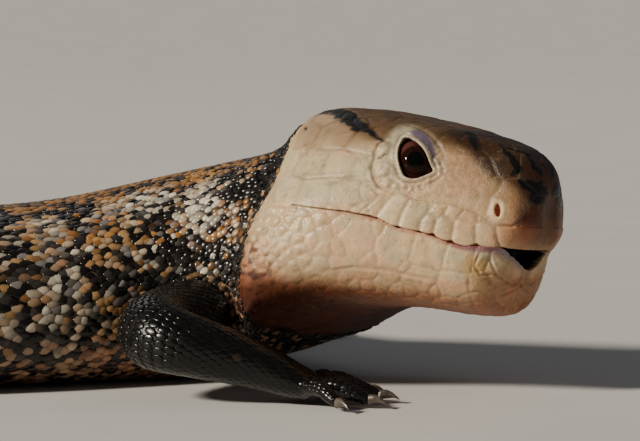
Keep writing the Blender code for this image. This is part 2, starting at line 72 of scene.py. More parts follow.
# Sections of the head: distance from the snout, then nine points down the right half as (out, up),
# from the middle of the roof over the brow, cheek, lip and jaw to the middle of the chin.
HEAD_SECTIONS = (
    (0.9, ((0, 0.2), (0.7, 0.0), (1.2, -0.5), (1.6, -1.4), (1.8, -3.0), (1.7, -5.0), (1.4, -6.6), (0.9, -7.6), (0, -8.0))),
    (1.0, ((0, 2.0), (1.4, 1.8), (2.7, 0.9), (3.5, -0.9), (3.9, -3.4), (3.8, -5.8), (3.3, -8.0), (2.0, -9.6), (0, -10.2))),
    (1.8, ((0, 4.0), (2.1, 3.8), (3.9, 2.7), (5.1, 0.2), (5.8, -3.2), (5.8, -6.6), (5.2, -9.4), (3.2, -11.2), (0, -11.8))),
    (2.9, ((0, 5.7), (2.6, 5.5), (5.0, 4.1), (6.6, 1.1), (7.5, -3.2), (7.6, -7.2), (6.9, -10.9), (4.3, -13.2), (0, -14.0))),
    (4.8, ((0, 7.5), (3.1, 7.3), (5.9, 5.7), (7.8, 1.9), (9.1, -3.2), (9.4, -7.6), (8.8, -12.6), (5.6, -17.0), (0, -18.4))),
    (8.0, ((0, 8.8), (3.6, 8.6), (6.9, 6.9), (9.0, 2.6), (10.8, -3.0), (11.3, -7.6), (11.0, -13.2), (7.1, -18.9), (0, -20.5))),
    (13.0, ((0, 9.9), (4.6, 9.7), (8.4, 8.2), (10.7, 3.8), (13.2, -2.2), (13.9, -6.8), (13.7, -13.0), (9.1, -19.2), (0, -20.6))),
    (20.0, ((0, 11.1), (6.0, 11.2), (11.0, 9.9), (14.0, 5.2), (16.3, -0.8), (17.2, -5.4), (17.0, -12.2), (12.2, -18.4), (0, -19.8))),
    (27.0, ((0, 12.3), (6.8, 12.3), (12.2, 10.8), (16.4, 5.8), (19.6, 0.0), (20.7, -4.2), (20.7, -11.6), (15.0, -18.2), (0, -19.8))),
    (34.0, ((0, 13.5), (7.2, 13.2), (13.0, 10.8), (18.2, 5.2), (21.9, -0.4), (23.3, -4.4), (23.6, -11.8), (17.8, -18.6), (0, -20.2))),
    (40.0, ((0, 13.8), (7.2, 13.4), (13.2, 10.2), (18.2, 3.8), (22.4, -1.4), (24.6, -6.4), (25.2, -13.4), (20.0, -20.2), (0, -22.4))),
    (44.0, ((0, 13.2), (6.8, 12.8), (12.2, 9.4), (16.6, 2.8), (21.2, -2.4), (24.6, -8.4), (25.6, -15.2), (20.8, -22.0), (0, -24.6))),
    (47.5, ((0, 10.8), (6.4, 10.4), (11.0, 6.8), (14.6, 0.4), (19.0, -4.8), (23.2, -10.6), (24.4, -17.2), (19.8, -24.2), (0, -26.6))),
    (50.5, ((0, 8.0), (6.2, 7.4), (10.6, 4.0), (14.0, -1.4), (16.6, -6.8), (18.6, -12.6), (18.8, -19.0), (15.6, -25.6), (0, -28.4))),
    (54.0, ((0, 6.2), (6.2, 5.6), (11.0, 2.4), (14.8, -3.0), (17.2, -8.6), (18.4, -14.4), (18.2, -20.6), (14.8, -27.0), (0, -29.8))),
)

# Sections from the neck to the tail tip: distance, half width, top and bottom above the floor
BODY_SECTIONS = (
    (60, 19.6, 38.8, 2.6), (66, 21.2, 37.6, 0.8), (72, 23.6, 36.2, -0.9), (80, 26.8, 34.4, -0.9),
    (90, 30.2, 31.8, -0.9), (102, 33.4, 29.4, -0.9), (118, 36.0, 28.9, -0.9), (140, 37.6, 29.8, -0.9),
    (165, 38.2, 31.0, -0.9), (192, 37.6, 30.8, -0.9), (216, 35.0, 30.2, -0.9), (236, 30.6, 29.2, -0.9),
    (252, 26.4, 28.2, -0.9), (268, 22.4, 27.0, -0.9), (286, 19.2, 25.4, -0.9), (306, 17.6, 24.0, -0.9),
    (330, 15.8, 22.2, -0.7), (360, 13.6, 19.8, -0.7), (395, 11.0, 16.6, -0.6), (432, 8.2, 12.8, -0.5),
    (468, 5.6, 9.0, -0.4), (498, 3.6, 6.0, -0.3), (518, 2.2, 3.9, -0.2), (527, 1.3, 2.5, -0.1), (530, 0.5, 1.4, 0.2),
)
BELLY_SQUARENESS = 2.7
BACK_SQUARENESS = 2.15
WIDEST_AT = 0.40

# Mouth: the edge of the upper and of the lower lip, as (distance, up)
UPPER_LIP = (
    (-6, -8.9), (0, -8.9), (2, -8.75), (3.7, -8.55), (5.2, -8.55), (6.8, -8.7), (8.2, -8.45), (9.9, -8.75), (11.8, -8.2),
    (13.1, -7.9), (14.6, -7.2), (16.6, -6.75), (19, -6.35), (20.9, -5.9), (22.9, -4.85), (25, -4.45), (28, -4.0),
    (31.7, -3.75), (37.9, -3.25), (52, -3.0),
)

# Places along the upper lip where two of its shields meet and the edge is notched
LIP_NOTCHES = (5.2, 8.2, 11.8, 14.6)
LIP_GAP = 0.09

# The open front of the mouth, from left to right: out, floor, roof, and how far back it reaches
GAPE = (
    (-4.9, -9.35, -8.95, 6.0), (-4.4, -10.2, -8.95, 8.5), (-3.6, -11.1, -8.95, 10.0), (-2.4, -11.9, -8.95, 10.2), (-1.0, -12.3, -9.0, 10.2),
    (0.5, -12.05, -9.0, 10.2), (2.6, -11.2, -8.9, 10.0), (4.5, -10.3, -8.75, 9.0), (6.3, -9.5, -8.65, 7.4), (7.6, -8.9, -8.6, 6.2),
    (8.3, -8.72, -8.6, 5.6),
)

# The parted stretch of the lips across the front; beyond it the lips are closed on both sides
GAPE_SPAN = (-4.9, 8.3)

# Lower edge of the soft dark lip below the mouth line, as (distance, up)
LIP_EDGE = (
    (0, -9.9), (4.6, -9.9), (5.7, -9.8), (6.8, -9.5), (8.2, -9.45), (9.6, -9.35), (11.5, -8.9), (13, -8.4),
)
MOUTH_END = 37.8

EYE_AT = (21.3, 10.7, 4.4)
EYE_RADIUS = 4.0
EYE_AXIS = (-0.30, 0.92, 0.25)
LID_THICKNESS = 0.7

# The opening between the lids in the eye's own plane: towards the rear, and up
EYE_OPENING = (
    (1.8, 3.85), (0.3, 3.4), (-1.2, 2.5), (-2.45, 1.3), (-3.3, -0.1), (-3.95, -1.05), (-4.12, -1.52), (-3.5, -2.0),
    (-2.5, -2.7), (-1.35, -3.2), (-0.15, -3.3), (0.7, -2.7), (1.5, -1.15), (2.1, 0.5), (2.32, 2.1), (2.25, 3.25),
)

# The bluish patch on the upper lid, in the same plane
LID_PATCH = (
    (1.3, 5.3), (-0.1, 5.35), (-1.5, 4.8), (-2.95, 3.4), (-3.9, 1.7), (-4.25, 0.2), (-4.05, -0.4), (-3.6, 0.5), (-2.75, 1.75),
    (-1.6, 2.8), (-0.4, 3.65), (0.8, 4.4),
)
IRIS_AT = (-1.0, -0.05)
IRIS_RADIUS = 2.35
PUPIL_RADIUS = 1.35
NOSTRIL_AT = (5.45, 9.15, -2.5)
EAR_AT = (49.6, 18.6, -5.6)

FORE_REACH = "fore"
HIND_REACH = "hind"
LIMBS = {
    "fore_right": {
        "girdle": FORE_GIRDLE, "side": 1, "kind": FORE_REACH, "toe_turn": 4.0,
        "path": (
            ((2, 8, 12.6), 7.4, 7.2), ((2, 18, 12.6), 7.2, 7.0), ((1.6, 28, 12.2), 6.8, 6.8),
            ((1.6, 37, 11.8), 6.8, 6.7), ((4.8, 42, 11.2), 6.3, 6.2), ((11.3, 40.6, 9.6), 5.7, 5.6),
            ((18.2, 36.6, 7.5), 5.0, 4.8), ((23.2, 34.2, 5.2), 5.0, 4.0), ((27.4, 32.2, 3.4), 5.6, 3.3),
            ((30.2, 31, 2.6), 4.8, 2.6),
        ),
    },
    "fore_left": {
        "girdle": FORE_GIRDLE, "side": -1, "kind": FORE_REACH, "toe_turn": 18.0,
        "path": (
            ((2, 8, 13), 7.4, 7.2), ((-1, 17, 13), 7.2, 7.0), ((-9, 24, 12.6), 6.8, 6.8),
            ((-18, 29.5, 12.0), 6.8, 6.7), ((-24.0, 34.6, 11.0), 6.3, 6.2), ((-25.6, 41.0, 9.2), 5.7, 5.6),
            ((-24.8, 47.0, 7.2), 5.0, 4.8), ((-23.4, 51.6, 5.0), 5.0, 4.0), ((-21.6, 55.8, 3.4), 5.6, 3.3),
            ((-20.2, 58.8, 2.6), 4.8, 2.6),
        ),
    },
    "hind_right": {
        "girdle": HIND_GIRDLE, "side": 1, "kind": HIND_REACH, "toe_turn": 34.0,
        "path": (
            ((-2, 5, 15), 8.6, 8.8), ((1, 16, 15.0), 9.0, 9.4), ((6, 28, 14.6), 8.8, 9.0),
            ((10.5, 37.5, 13.0), 7.8, 7.8), ((9.0, 45.0, 10.8), 6.6, 6.8), ((3.0, 50.5, 8.4), 5.6, 5.8),
            ((-2.6, 54.5, 6.4), 4.8, 5.0), ((-5.0, 60.0, 4.6), 5.2, 4.2), ((-3.6, 65.6, 3.3), 6.0, 3.4),
            ((-1.2, 70, 2.7), 5.2, 2.7),
        ),
    },
    "hind_left": {
        "girdle": HIND_GIRDLE, "side": -1, "kind": HIND_REACH, "toe_turn": 42.0,
        "path": (
            ((-2, 5, 15), 8.6, 8.8), ((-1, 16, 15.0), 9.0, 9.4), ((1, 28, 14.6), 8.8, 9.0),
            ((3.0, 38.0, 13.0), 7.8, 7.8), ((-0.5, 46.0, 10.8), 6.6, 6.8), ((-7.0, 50.5, 8.4), 5.6, 5.8),
            ((-13.0, 54.0, 6.4), 4.8, 5.0), ((-16.4, 59.0, 4.6), 5.2, 4.2), ((-15.8, 64.8, 3.3), 6.0, 3.4),
            ((-14, 69.4, 2.7), 5.2, 2.7),
        ),
    },
}
# Digits, first to fifth: turn from the foot's line in degrees, seat across the palm, length, half width
DIGITS = {
    FORE_REACH: ((58, 4.2, 6.4, 1.9), (27, 3.0, 8.4, 2.0), (2, 0.4, 9.4, 2.0), (-22, -2.4, 8.6, 2.0), (-56, -4.4, 6.4, 1.8)),
    HIND_REACH: ((46, 4.0, 6.0, 1.9), (20, 3.0, 8.8, 2.0), (2, 0.8, 11.6, 2.1), (-14, -1.8, 13.2, 2.1), (-44, -4.6, 9.6, 1.8)),
}
CLAW_LENGTH = 3.4
CLAW_RADIUS = 0.95
CLAW_GAP = 0.3

# Depth of the coat over the skin, and density of the skin's mesh
BODY_COAT = 0.5
LIMB_COAT = 0.4
COAT_STARTS = (45.0, 52.0)
HEAD_STEP = 0.23
HEAD_AROUND = 512
HEAD_MESH_END = 57.0
BODY_STEP = 1.3
LIMB_STEP = 0.7
LIMB_AROUND = 40
DIGIT_AROUND = 20

# Colours, linear
BLACK = (0.004, 0.0036, 0.0036)
DARK_BROWN = (0.050, 0.028, 0.016)
TAN = (0.27, 0.16, 0.065)
CREAM = (0.50, 0.465, 0.37)
GREY = (0.20, 0.20, 0.20)
ORANGE = (0.25, 0.10, 0.02)
RUST = (0.30, 0.145, 0.085)
PALE_FLESH = (0.58, 0.405, 0.225)
PINK_FLESH = (0.57, 0.34, 0.20)
GREEN_FLESH = (0.46, 0.385, 0.235)
# Dark olive of the roof: its own tan, darkened further with painted shade.
OLIVE_TAN = (0.088, 0.047, 0.019)
# The snout's own brown, darkened with painted shade.
SNOUT_BROWN = (0.028, 0.0125, 0.0045)
NASAL_BROWN = (0.38, 0.195, 0.10)
LIP_PINK = (0.30, 0.06, 0.05)
LIP_PURPLE = (0.24, 0.13, 0.155)
LID_PALE = (0.48, 0.42, 0.29)
LID_BLUE = (0.115, 0.085, 0.13)
RIM_GREY = (0.20, 0.17, 0.19)
THROAT_RUST = (0.29, 0.095, 0.040)
EYE_RIM_RED = (0.075, 0.016, 0.011)
# Near-black painted shade for the inside of the mouth.
MOUTH_SHADE = (0.008, 0.008, 0.012)
NOSTRIL_ORANGE = (0.42, 0.135, 0.075)
PINK_BEIGE = (0.36, 0.22, 0.13)


def spline_weights(places, count, closed):
    """The weight of each of count control points at each place of a cubic B-spline."""
    places = np.asarray(places, float)
    first = np.floor(places).astype(int)
    basis = spline_basis(places - first)
    weights = np.zeros((len(places), count))
    for k in range(4):
        index = first + k - 1
        index = index % count if closed else np.clip(index, 0, count - 1)
        np.add.at(weights, (np.arange(len(places)), index), basis[:, k])
    return weights


def spline_basis(t):
    return np.stack([
        (1 - t) ** 3, 3 * t**3 - 6 * t**2 + 4, -3 * t**3 + 3 * t**2 + 3 * t + 1, t**3,
    ], -1) / 6


def smoothstep(low, high, value):
    share = np.clip((np.asarray(value, float) - low) / (high - low), 0, 1)
    return share * share * (3 - 2 * share)


def unit(vectors):
    vectors = np.asarray(vectors, float)
    return vectors / np.maximum(np.linalg.norm(vectors, axis=-1, keepdims=True), 1e-12)


def hashed(cells, seed):
    """A number from 0 to 1 for each row of whole numbers."""
    cells = cells.astype(np.int64)
    mixed = cells[..., 0] * 73856093 ^ cells[..., 1] * 19349663 ^ cells[..., 2] * 83492791 ^ seed * 2654435761
    mixed = (mixed ^ (mixed >> 13)) * 1274126177 & 0xFFFFFFFF
    mixed = (mixed ^ (mixed >> 16)) & 0xFFFFFF
    return mixed / float(0xFFFFFF)


def noise(points, size, seed=0):
    """Smooth noise from 0 to 1 with features of a size in millimetres."""
    places = np.asarray(points, float) / size
    cell = np.floor(places).astype(int)
    t = places - cell
    t = t * t * (3 - 2 * t)
    total = np.zeros(len(places))
    for corner in range(8):
        step = np.array([corner & 1, corner >> 1 & 1, corner >> 2 & 1])
        weight = np.prod(np.where(step, t, 1 - t), axis=1)
        total += weight * hashed(cell + step, seed)
    return total


def cloud(points, size, seed=0, octaves=3):
    """Layered noise from 0 to 1."""
    total, weight = 0.0, 0.0
    for k in range(octaves):
        total = total + noise(points, size / 2**k, seed + 17 * k) * 0.55**k
        weight += 0.55**k
    return np.clip((total / weight - 0.5) * 1.5 + 0.5, 0, 1)


def mix(a, b, share):
    """Blend two colours, or arrays of them, by a share for each row."""
    share = np.asarray(share, float)[..., None]
    return np.asarray(a, float) * (1 - share) + np.asarray(b, float) * share


def outline_distance(a, b, outline):
    """Distance of places from a closed outline in a plane, negative inside it."""
    places = np.stack([a, b], 1)
    best = np.full(len(places), 1e9)
    inside = np.zeros(len(places), bool)
    for p, q in zip(outline, np.roll(outline, -1, axis=0)):
        line = q - p
        share = np.clip(((places - p) @ line) / (line @ line), 0, 1)
        best = np.minimum(best, np.linalg.norm(places - p - share[:, None] * line, axis=1))
        cross = (p[1] > b) != (q[1] > b)
        slope = line[1] if abs(line[1]) > 1e-9 else 1e-9
        inside ^= cross & (a < line[0] * (b - p[1]) / slope + p[0])
    return np.where(inside, -best, best)


class Spine:
    """The midline seen from above: a place and a heading at each distance from the snout."""

    def __init__(self):
        self.s = np.arange(-12.0, TOTAL_LENGTH + 1.0, 0.5)
        keys = np.array(HEADINGS, float)
        angle = np.interp(self.s, keys[:, 0], keys[:, 1])
        half = HEADING_SMOOTHING
        padded = np.pad(angle, half, mode="edge")
        kernel = np.hanning(2 * half + 1)
        self.angle = np.radians(np.convolve(padded, kernel / kernel.sum(), mode="valid"))
        tilts = np.array(TILTS, float)
        self.tilt = np.radians(np.interp(self.s, tilts[:, 0], tilts[:, 1]))
        step = np.stack([-np.cos(self.angle), np.sin(self.angle)], 1) * 0.5
        self.xy = np.cumsum(step, 0)
        self.xy -= self.place(BELLY_MOUNT)

    def place(self, s):
        return np.stack([np.interp(s, self.s, self.xy[:, k]) for k in (0, 1)], -1)

    def right(self, s):
        angle = np.interp(s, self.s, self.angle)
        return np.stack([-np.sin(angle), -np.cos(angle)], -1)

    def world(self, along, out, up):
        """Points in millimetres from distance along the spine, distance to the right of it, and height."""
        out, up = np.asarray(out, float), np.asarray(up, float) - SNOUT_LEVEL
        tilt = np.interp(along, self.s, self.tilt)
        across = out * np.cos(tilt) - up * np.sin(tilt)
        height = out * np.sin(tilt) + up * np.cos(tilt) + SNOUT_LEVEL
        xy = self.place(along) + self.right(along) * across[..., None]
        return np.concatenate([xy, height[..., None]], -1)

    def local(self, points):
        """The reverse of world: along, out and up for each point."""
        points = np.asarray(points, float)
        s = np.full(len(points), 100.0)
        coarse = np.arange(0, TOTAL_LENGTH, 4.0)
        middles = self.place(coarse)
        for start in range(0, len(points), 20000):
            part = points[start:start + 20000, :2]
            gap = ((part[:, None] - middles[None]) ** 2).sum(-1)
            s[start:start + 20000] = coarse[gap.argmin(1)]
        for _ in range(14):
            right = self.right(s)
            back = np.stack([right[:, 1], -right[:, 0]], -1)
            gap = ((points[:, :2] - self.place(s)) * back).sum(-1)
            s = np.clip(s + np.clip(gap, -6, 6) * 0.7, -8, TOTAL_LENGTH)
        right = self.right(s)
        across = ((points[:, :2] - self.place(s)) * right).sum(-1)
        tilt = np.interp(s, self.s, self.tilt)
        height = points[:, 2] - SNOUT_LEVEL
        out = across * np.cos(tilt) + height * np.sin(tilt)
        up = -across * np.sin(tilt) + height * np.cos(tilt)
        return np.stack([s, out, up + SNOUT_LEVEL], -1)


def body_section(width, top, bottom):
    """Nine points down the right half of a rounded section with a flattened belly."""
    middle = bottom + (top - bottom) * WIDEST_AT
    points = []
    for k in range(9):
        angle = math.radians(90 - 22.5 * k)
        upper = k <= 4
        power = 2 / (BACK_SQUARENESS if upper else BELLY_SQUARENESS)
        reach = (top if upper else bottom) - middle
        out = width * abs(math.cos(angle)) ** power
        up = middle + reach * abs(math.sin(angle)) ** power
        points.append((out if 0 < k < 8 else 0.0, up))
    return points


def body_cage():
    """The control rings of the whole body as an array: ring, point, (along, out, up)."""
    rings = []
    for along, half in HEAD_SECTIONS:
        rings.append((along, [(out, up + SNOUT_LEVEL) for out, up in half]))
    for along, width, top, bottom in BODY_SECTIONS:
        rings.append((along, body_section(width, top, bottom)))
    cage = []
    for along, half in rings:
        right = [(along, out, up) for out, up in half]
        left = [(along, -out, up) for out, up in half[-2:0:-1]]
        cage.append(right + left)
    return np.array(cage, float)


class Body:
    """The lofted surface of the body, as the solids have it."""

    def __init__(self, spine):
        self.spine = spine
        around = np.linalg.inv(spline_weights(np.arange(16), 16, True))
        self.cage = np.einsum("jk,ikl->ijl", around, body_cage())
        self.count = len(self.cage)
        self.u = np.linspace(0, self.count - 1, 4000)
        self.along = spline_weights(self.u, self.count, False) @ self.cage[:, 0, 0]
        self.make_reach_table()

    def local(self, s, t):
        """Along, out and up at distances s and places t round the section, from 0 on the roof to 16."""
        u = np.interp(s, self.along, self.u)
        i, j = np.floor(u).astype(int), np.floor(t).astype(int)
        wi, wj = spline_basis(u - i), spline_basis(t - j)
        total = np.zeros((len(u), 3))
        for a in range(4):
            row = np.clip(i + a - 1, 0, self.count - 1)
            for b in range(4):
                total += (wi[:, a] * wj[:, b])[:, None] * self.cage[row, (j + b - 1) % 16]
        return total

    def world(self, s, t):
        local = self.local(s, t)
        points = self.spine.world(local[:, 0], local[:, 1], local[:, 2])
        points[:, 2] = np.maximum(points[:, 2], 0)
        return points

    def make_reach_table(self):
        """The distance of the surface from the section's middle, by distance and by angle from the roof."""
        self.reach_s = np.concatenate([np.arange(1.2, 60, 0.6), np.arange(60, 530, 3.0)])
        self.reach_angle = np.linspace(-math.pi, math.pi, 181)
        t = np.arange(256) * 16 / 256
        table, middles = [], []
        for s in self.reach_s:
            ring = self.local(np.full(256, s), t)[:, 1:]
            middle = (ring[:, 1].max() + ring[:, 1].min()) / 2
            angle = np.arctan2(ring[:, 0], ring[:, 1] - middle)
            reach = np.hypot(ring[:, 0], ring[:, 1] - middle)
            order = np.argsort(angle)
            table.append(np.interp(self.reach_angle, angle[order], reach[order], period=2 * math.pi))
            middles.append(middle)
        self.reach, self.middle = np.array(table), np.array(middles)

    def polar(self, local):
        """Angle from the roof, and height over the surface, of points in the body's own coordinates."""
        middle = np.interp(local[:, 0], self.reach_s, self.middle)
        angle = np.arctan2(local[:, 1], local[:, 2] - middle)
        distance = np.hypot(local[:, 1], local[:, 2] - middle)
        row = np.interp(local[:, 0], self.reach_s, np.arange(len(self.reach_s)))
        column = (angle + math.pi) / (2 * math.pi) * 180
        i, j = np.minimum(row.astype(int), len(self.reach_s) - 2), np.minimum(column.astype(int), 179)
        fi, fj = row - i, column - j
        near = self.reach[i, j] * (1 - fj) + self.reach[i, j + 1] * fj
        far = self.reach[i + 1, j] * (1 - fj) + self.reach[i + 1, j + 1] * fj
        return angle, distance - (near * (1 - fi) + far * fi)


class Limb:
    """A tube of rounded sections from the girdle to the palm."""

    def __init__(self, spine, name):
        spec = LIMBS[name]
        self.name = name
        self.spine = spine
        self.side = spec["side"]
        self.kind = spec["kind"]
        self.toe_turn = spec["toe_turn"]
        origin = np.append(spine.place(spec["girdle"]), 0)
        right = np.append(spine.right(spec["girdle"]), 0)
        forward = np.array([-right[1], right[0], 0])
        outward = right * self.side
        path = spec["path"]
        lift = np.array([0, 0, 1.0])
        self.points = np.array([origin + forward * j[0] + outward * j[1] + lift * j[2] for j, _, _ in path])
        self.halves = np.array([(wide, high) for _, wide, high in path])
        self.last = len(path) - 1

    def at(self, u):
        weights = spline_weights([u], len(self.points), False)[0]
        return weights @ self.points, weights @ self.halves

    def tangent(self, u):
        step = 0.02
        ahead, behind = self.at(min(u + step, self.last))[0], self.at(max(u - step, 0))[0]
        return unit(ahead - behind)

    def frame(self, u):
        along = self.tangent(u)
        across = unit(np.cross(along, (0, 0, 1)))
        return along, across, np.cross(across, along)

    def ring(self, u, points, shrink=0.0):
        centre, (wide, high) = self.at(u)
        _, across, upward = self.frame(u)
        angles = np.arange(points) * 2 * math.pi / points
        ring = centre + np.outer(np.cos(angles) * (wide - shrink), across)
        ring += np.outer(np.sin(angles) * (high - shrink), upward)
        ring[:, 2] = np.maximum(ring[:, 2], shrink)
        return ring

    def places(self, start, end, step):
        """Spline places from start to end, about a step apart in millimetres."""
        fine = np.linspace(start, end, 400)
        points = np.array([self.at(u)[0] for u in fine])
        run = np.concatenate([[0], np.cumsum(np.linalg.norm(np.diff(points, axis=0), axis=1))])
        return np.interp(np.linspace(0, run[-1], max(2, int(run[-1] / step) + 1)), run, fine)


def digit_path(limb, turn, seat, length):
    """Points from inside the palm to the tip of a digit, arched over its knuckle."""
    palm, _ = limb.at(limb.last - 1.0)
    line = limb.tangent(limb.last - 0.5)
    line[2] = 0
    line = unit(line)
    across = np.array([-line[1], line[0], 0]) * limb.side
    angle = math.radians(turn * 0.9 - limb.toe_turn * 0.35)
    way = line * math.cos(angle) + across * math.sin(angle)
    base = palm + across * seat * 0.62
    heights = (3.0, 3.3, 3.5, 2.4, 1.55)
    reaches = (0.0, 2.6, 3.2 + length * 0.34, 3.2 + length * 0.74, 3.2 + length)
    points = [base + way * reach for reach in reaches]
    for point, height in zip(points, heights):
        point[2] = height
    return np.array(points), way


def digit_frames(path, way, half, steps):
    """Centres, directions and half widths along a digit, smoothed between its joints."""
    taper = np.array((1.0, 1.0, 0.98, 0.86, 0.62)) * half
    places = np.linspace(0, 4, steps)
    knots = np.arange(5)
    centres = np.stack([smooth_curve(places, path[:, k]) for k in range(3)], 1)
    halves = np.interp(places, knots, taper)
    along = unit(np.gradient(centres, axis=0))
    along[-1] = way
    return centres, along, halves


def smooth_curve(places, values):
    """A curve through five values, without corners at them."""
    slopes = np.gradient(values)
    i = np.minimum(places.astype(int), 3)
    t = places - i
    a, b = values[i], values[i + 1]
    return (
        a * (2 * t**3 - 3 * t**2 + 1) + slopes[i] * (t**3 - 2 * t**2 + t)
        + b * (3 * t**2 - 2 * t**3) + slopes[i + 1] * (t**3 - t**2)
    )


def digit_rings(path, way, half, around, steps, shrink):
    centres, along, halves = digit_frames(path, way, half, steps)
    rings = []
    angles = np.arange(around) * 2 * math.pi / around
    for centre, line, width in zip(centres, along, halves):
        across = unit(np.cross(line, (0, 0, 1)))
        upward = np.cross(across, line)
        ring = centre + np.outer(np.cos(angles), across) * (width - shrink)
        ring += np.outer(np.sin(angles), upward) * (width - shrink) * 0.92
        ring[:, 2] = np.maximum(ring[:, 2], shrink)
        rings.append(ring)
    return rings


def mesh_object(name, vertices, faces):
    """A new object from points in millimetres and faces."""
    mesh = bpy.data.meshes.new(name)
    mesh.from_pydata((np.asarray(vertices) * MM).tolist(), [], faces)
    mesh.validate()
    obj = bpy.data.objects.new(name, mesh)
    bpy.context.scene.collection.objects.link(obj)
    return obj


def tube_faces(starts, counts):
    """Faces that join rings of points, where a ring may have a fourth of the points of the one before."""
    faces = []
    for (a, n), (b, m) in zip(zip(starts, counts), zip(starts[1:], counts[1:])):
        if n == m:
            for k in range(n):
                j = (k + 1) % n
                faces.append((a + k, a + j, b + j, b + k))
        else:
            ratio = n // m
            for k in range(m):
                fine = [a + (k * ratio + q) % n for q in range(ratio + 1)]
                faces.append(tuple(fine) + (b + (k + 1) % m, b + k))
    return faces


def tube_object(name, rings, tip=None):
    """A closed object through rings, with a flat cap or a pointed first end."""
    starts, counts, start = [], [], 0
    for ring in rings:
        starts.append(start)
        counts.append(len(ring))
        start += len(ring)
    faces = tube_faces(starts, counts)
    vertices = np.concatenate(rings)
    n, m = counts[0], counts[-1]
    if tip is None:
        faces.append(tuple(range(n - 1, -1, -1)))
    else:
        vertices = np.concatenate([vertices, [tip]])
        faces += [(start, (k + 1) % n, k) for k in range(n)]
    faces.append(tuple(starts[-1] + k for k in range(m)))
    return mesh_object(name, vertices, faces)


def apply_boolean(obj, tool, operation):
    """Cut or join with another object, then drop that one."""
    modifier = obj.modifiers.new("tool", "BOOLEAN")
    modifier.operation = operation
    modifier.object = tool
    modifier.solver = "MANIFOLD"
    graph = bpy.context.evaluated_depsgraph_get()
    mesh = bpy.data.meshes.new_from_object(obj.evaluated_get(graph))
    if len(mesh.vertices) < len(obj.data.vertices) // 2:
        modifier.solver = "EXACT"
        graph = bpy.context.evaluated_depsgraph_get()
        mesh = bpy.data.meshes.new_from_object(obj.evaluated_get(graph))
    obj.modifiers.remove(modifier)
    old = obj.data
    obj.data = mesh
    bpy.data.meshes.remove(old)
    bpy.data.objects.remove(tool)


def get_points(obj):
    points = np.empty(len(obj.data.vertices) * 3)
    obj.data.vertices.foreach_get("co", points)
    return points.reshape(-1, 3) / MM


def set_points(obj, points):
    obj.data.vertices.foreach_set("co", (points * MM).ravel())
    obj.data.update()


def get_normals(obj):
    normals = np.empty(len(obj.data.vertices) * 3)
    obj.data.vertices.foreach_get("normal", normals)
    return normals.reshape(-1, 3)


def get_edges(obj):
    edges = np.empty(len(obj.data.edges) * 2, int)
    obj.data.edges.foreach_get("vertices", edges)
    return edges.reshape(-1, 2)


def relax(points, edges, weight, rounds):
    """Move each point towards its neighbours' average by a weight."""
    count = np.zeros(len(points))
    np.add.at(count, edges.ravel(), 1)
    count = np.maximum(count, 1)[:, None]
    for _ in range(rounds):
        total = np.zeros_like(points)
        np.add.at(total, edges[:, 0], points[edges[:, 1]])
        np.add.at(total, edges[:, 1], points[edges[:, 0]])
        points = points + (total / count - points) * weight[:, None] * 0.6
    return points


def head_world(spine, points):
    """World places of points given as distance, out and up from the snout's level."""
    points = np.asarray(points, float)
    return spine.world(points[:, 0], points[:, 1], points[:, 2] + SNOUT_LEVEL)


def head_direction(spine, vector, side=1):
    """A direction of the head, forward being minus along, turned into the world."""
    ends = head_world(spine, [(20, 0, 0), (20 + vector[0], vector[1] * side, vector[2])])
    return unit(ends[1] - ends[0])


class Eye:
    """Centre, axis and lid opening of one eye, in world millimetres."""

    def __init__(self, spine, side):
        self.side = side
        self.centre = head_world(spine, [np.array(EYE_AT) * (1, side, 1)])[0]
        self.axis = head_direction(spine, EYE_AXIS, side)
        back = head_direction(spine, (1, 0, 0))
        self.rear = unit(back - self.axis * (back @ self.axis))
        self.up = np.cross(self.axis, self.rear)
        self.up *= np.sign(self.up[2])
        self.outline = self.rounded(EYE_OPENING)
        self.patch = self.rounded(LID_PATCH)

    @staticmethod
    def rounded(corners):
        """A smooth closed outline through corners."""
        count = len(corners)
        control = np.linalg.inv(spline_weights(np.arange(count), count, True)) @ np.array(corners, float)
        return spline_weights(np.arange(0, count, 0.2), count, True) @ control

    def plane(self, points):
        """Places of points across the eye's axis, and along it."""
        off = points - self.centre
        return off @ self.rear, off @ self.up, off @ self.axis

    def measure(self, points):
        """For the points near the eye: which they are, their places, and their distance from the opening."""
        off = points - self.centre
        near = np.flatnonzero((np.linalg.norm(off, axis=1) < 9.5) & (off @ self.axis > -0.5))
        a, b, depth = self.plane(points[near])
        return near, a, b, depth, outline_distance(a, b, self.outline)

    def cutter(self):
        """A prism over the opening, from inside the eyeball outwards."""
        rings = []
        middle = self.outline.mean(0)
        for depth, grow in ((1.2, 0.97), (3.2, 0.97), (4.0, 1.0), (6.8, 1.25)):
            outline = middle + (self.outline - middle) * grow
            ring = self.centre + np.outer(outline[:, 0], self.rear) + np.outer(outline[:, 1], self.up)
            rings.append(ring + self.axis * depth)
        return tube_object("lid_tool", rings)


def recalc(obj):
    mesh = obj.data
    bm = bmesh.new()
    bm.from_mesh(mesh)
    bmesh.ops.recalc_face_normals(bm, faces=bm.faces)
    bm.to_mesh(mesh)
    bm.free()
    return obj


def ball(name, centre, radii, axes, segments=48):
    """A closed ellipsoid on three axes."""
    rings = []
    count = segments // 2
    angles = np.arange(segments) * 2 * math.pi / segments
    for k in range(1, count):
        fall = math.pi * k / count
        ring = centre + axes[2] * radii[2] * math.cos(fall)
        ring = ring + np.outer(np.cos(angles) * math.sin(fall) * radii[0], axes[0])
        ring = ring + np.outer(np.sin(angles) * math.sin(fall) * radii[1], axes[1])
        rings.append(ring)
    vertices = np.concatenate(rings + [[centre + axes[2] * radii[2]], [centre - axes[2] * radii[2]]])
    faces = tube_faces([k * segments for k in range(len(rings))], [segments] * len(rings))
    top, low = len(vertices) - 2, len(vertices) - 1
    last = (len(rings) - 1) * segments
    faces += [(top, (k + 1) % segments, k) for k in range(segments)]
    faces += [(low, last + k, last + (k + 1) % segments) for k in range(segments)]
    return recalc(mesh_object(name, vertices, faces))


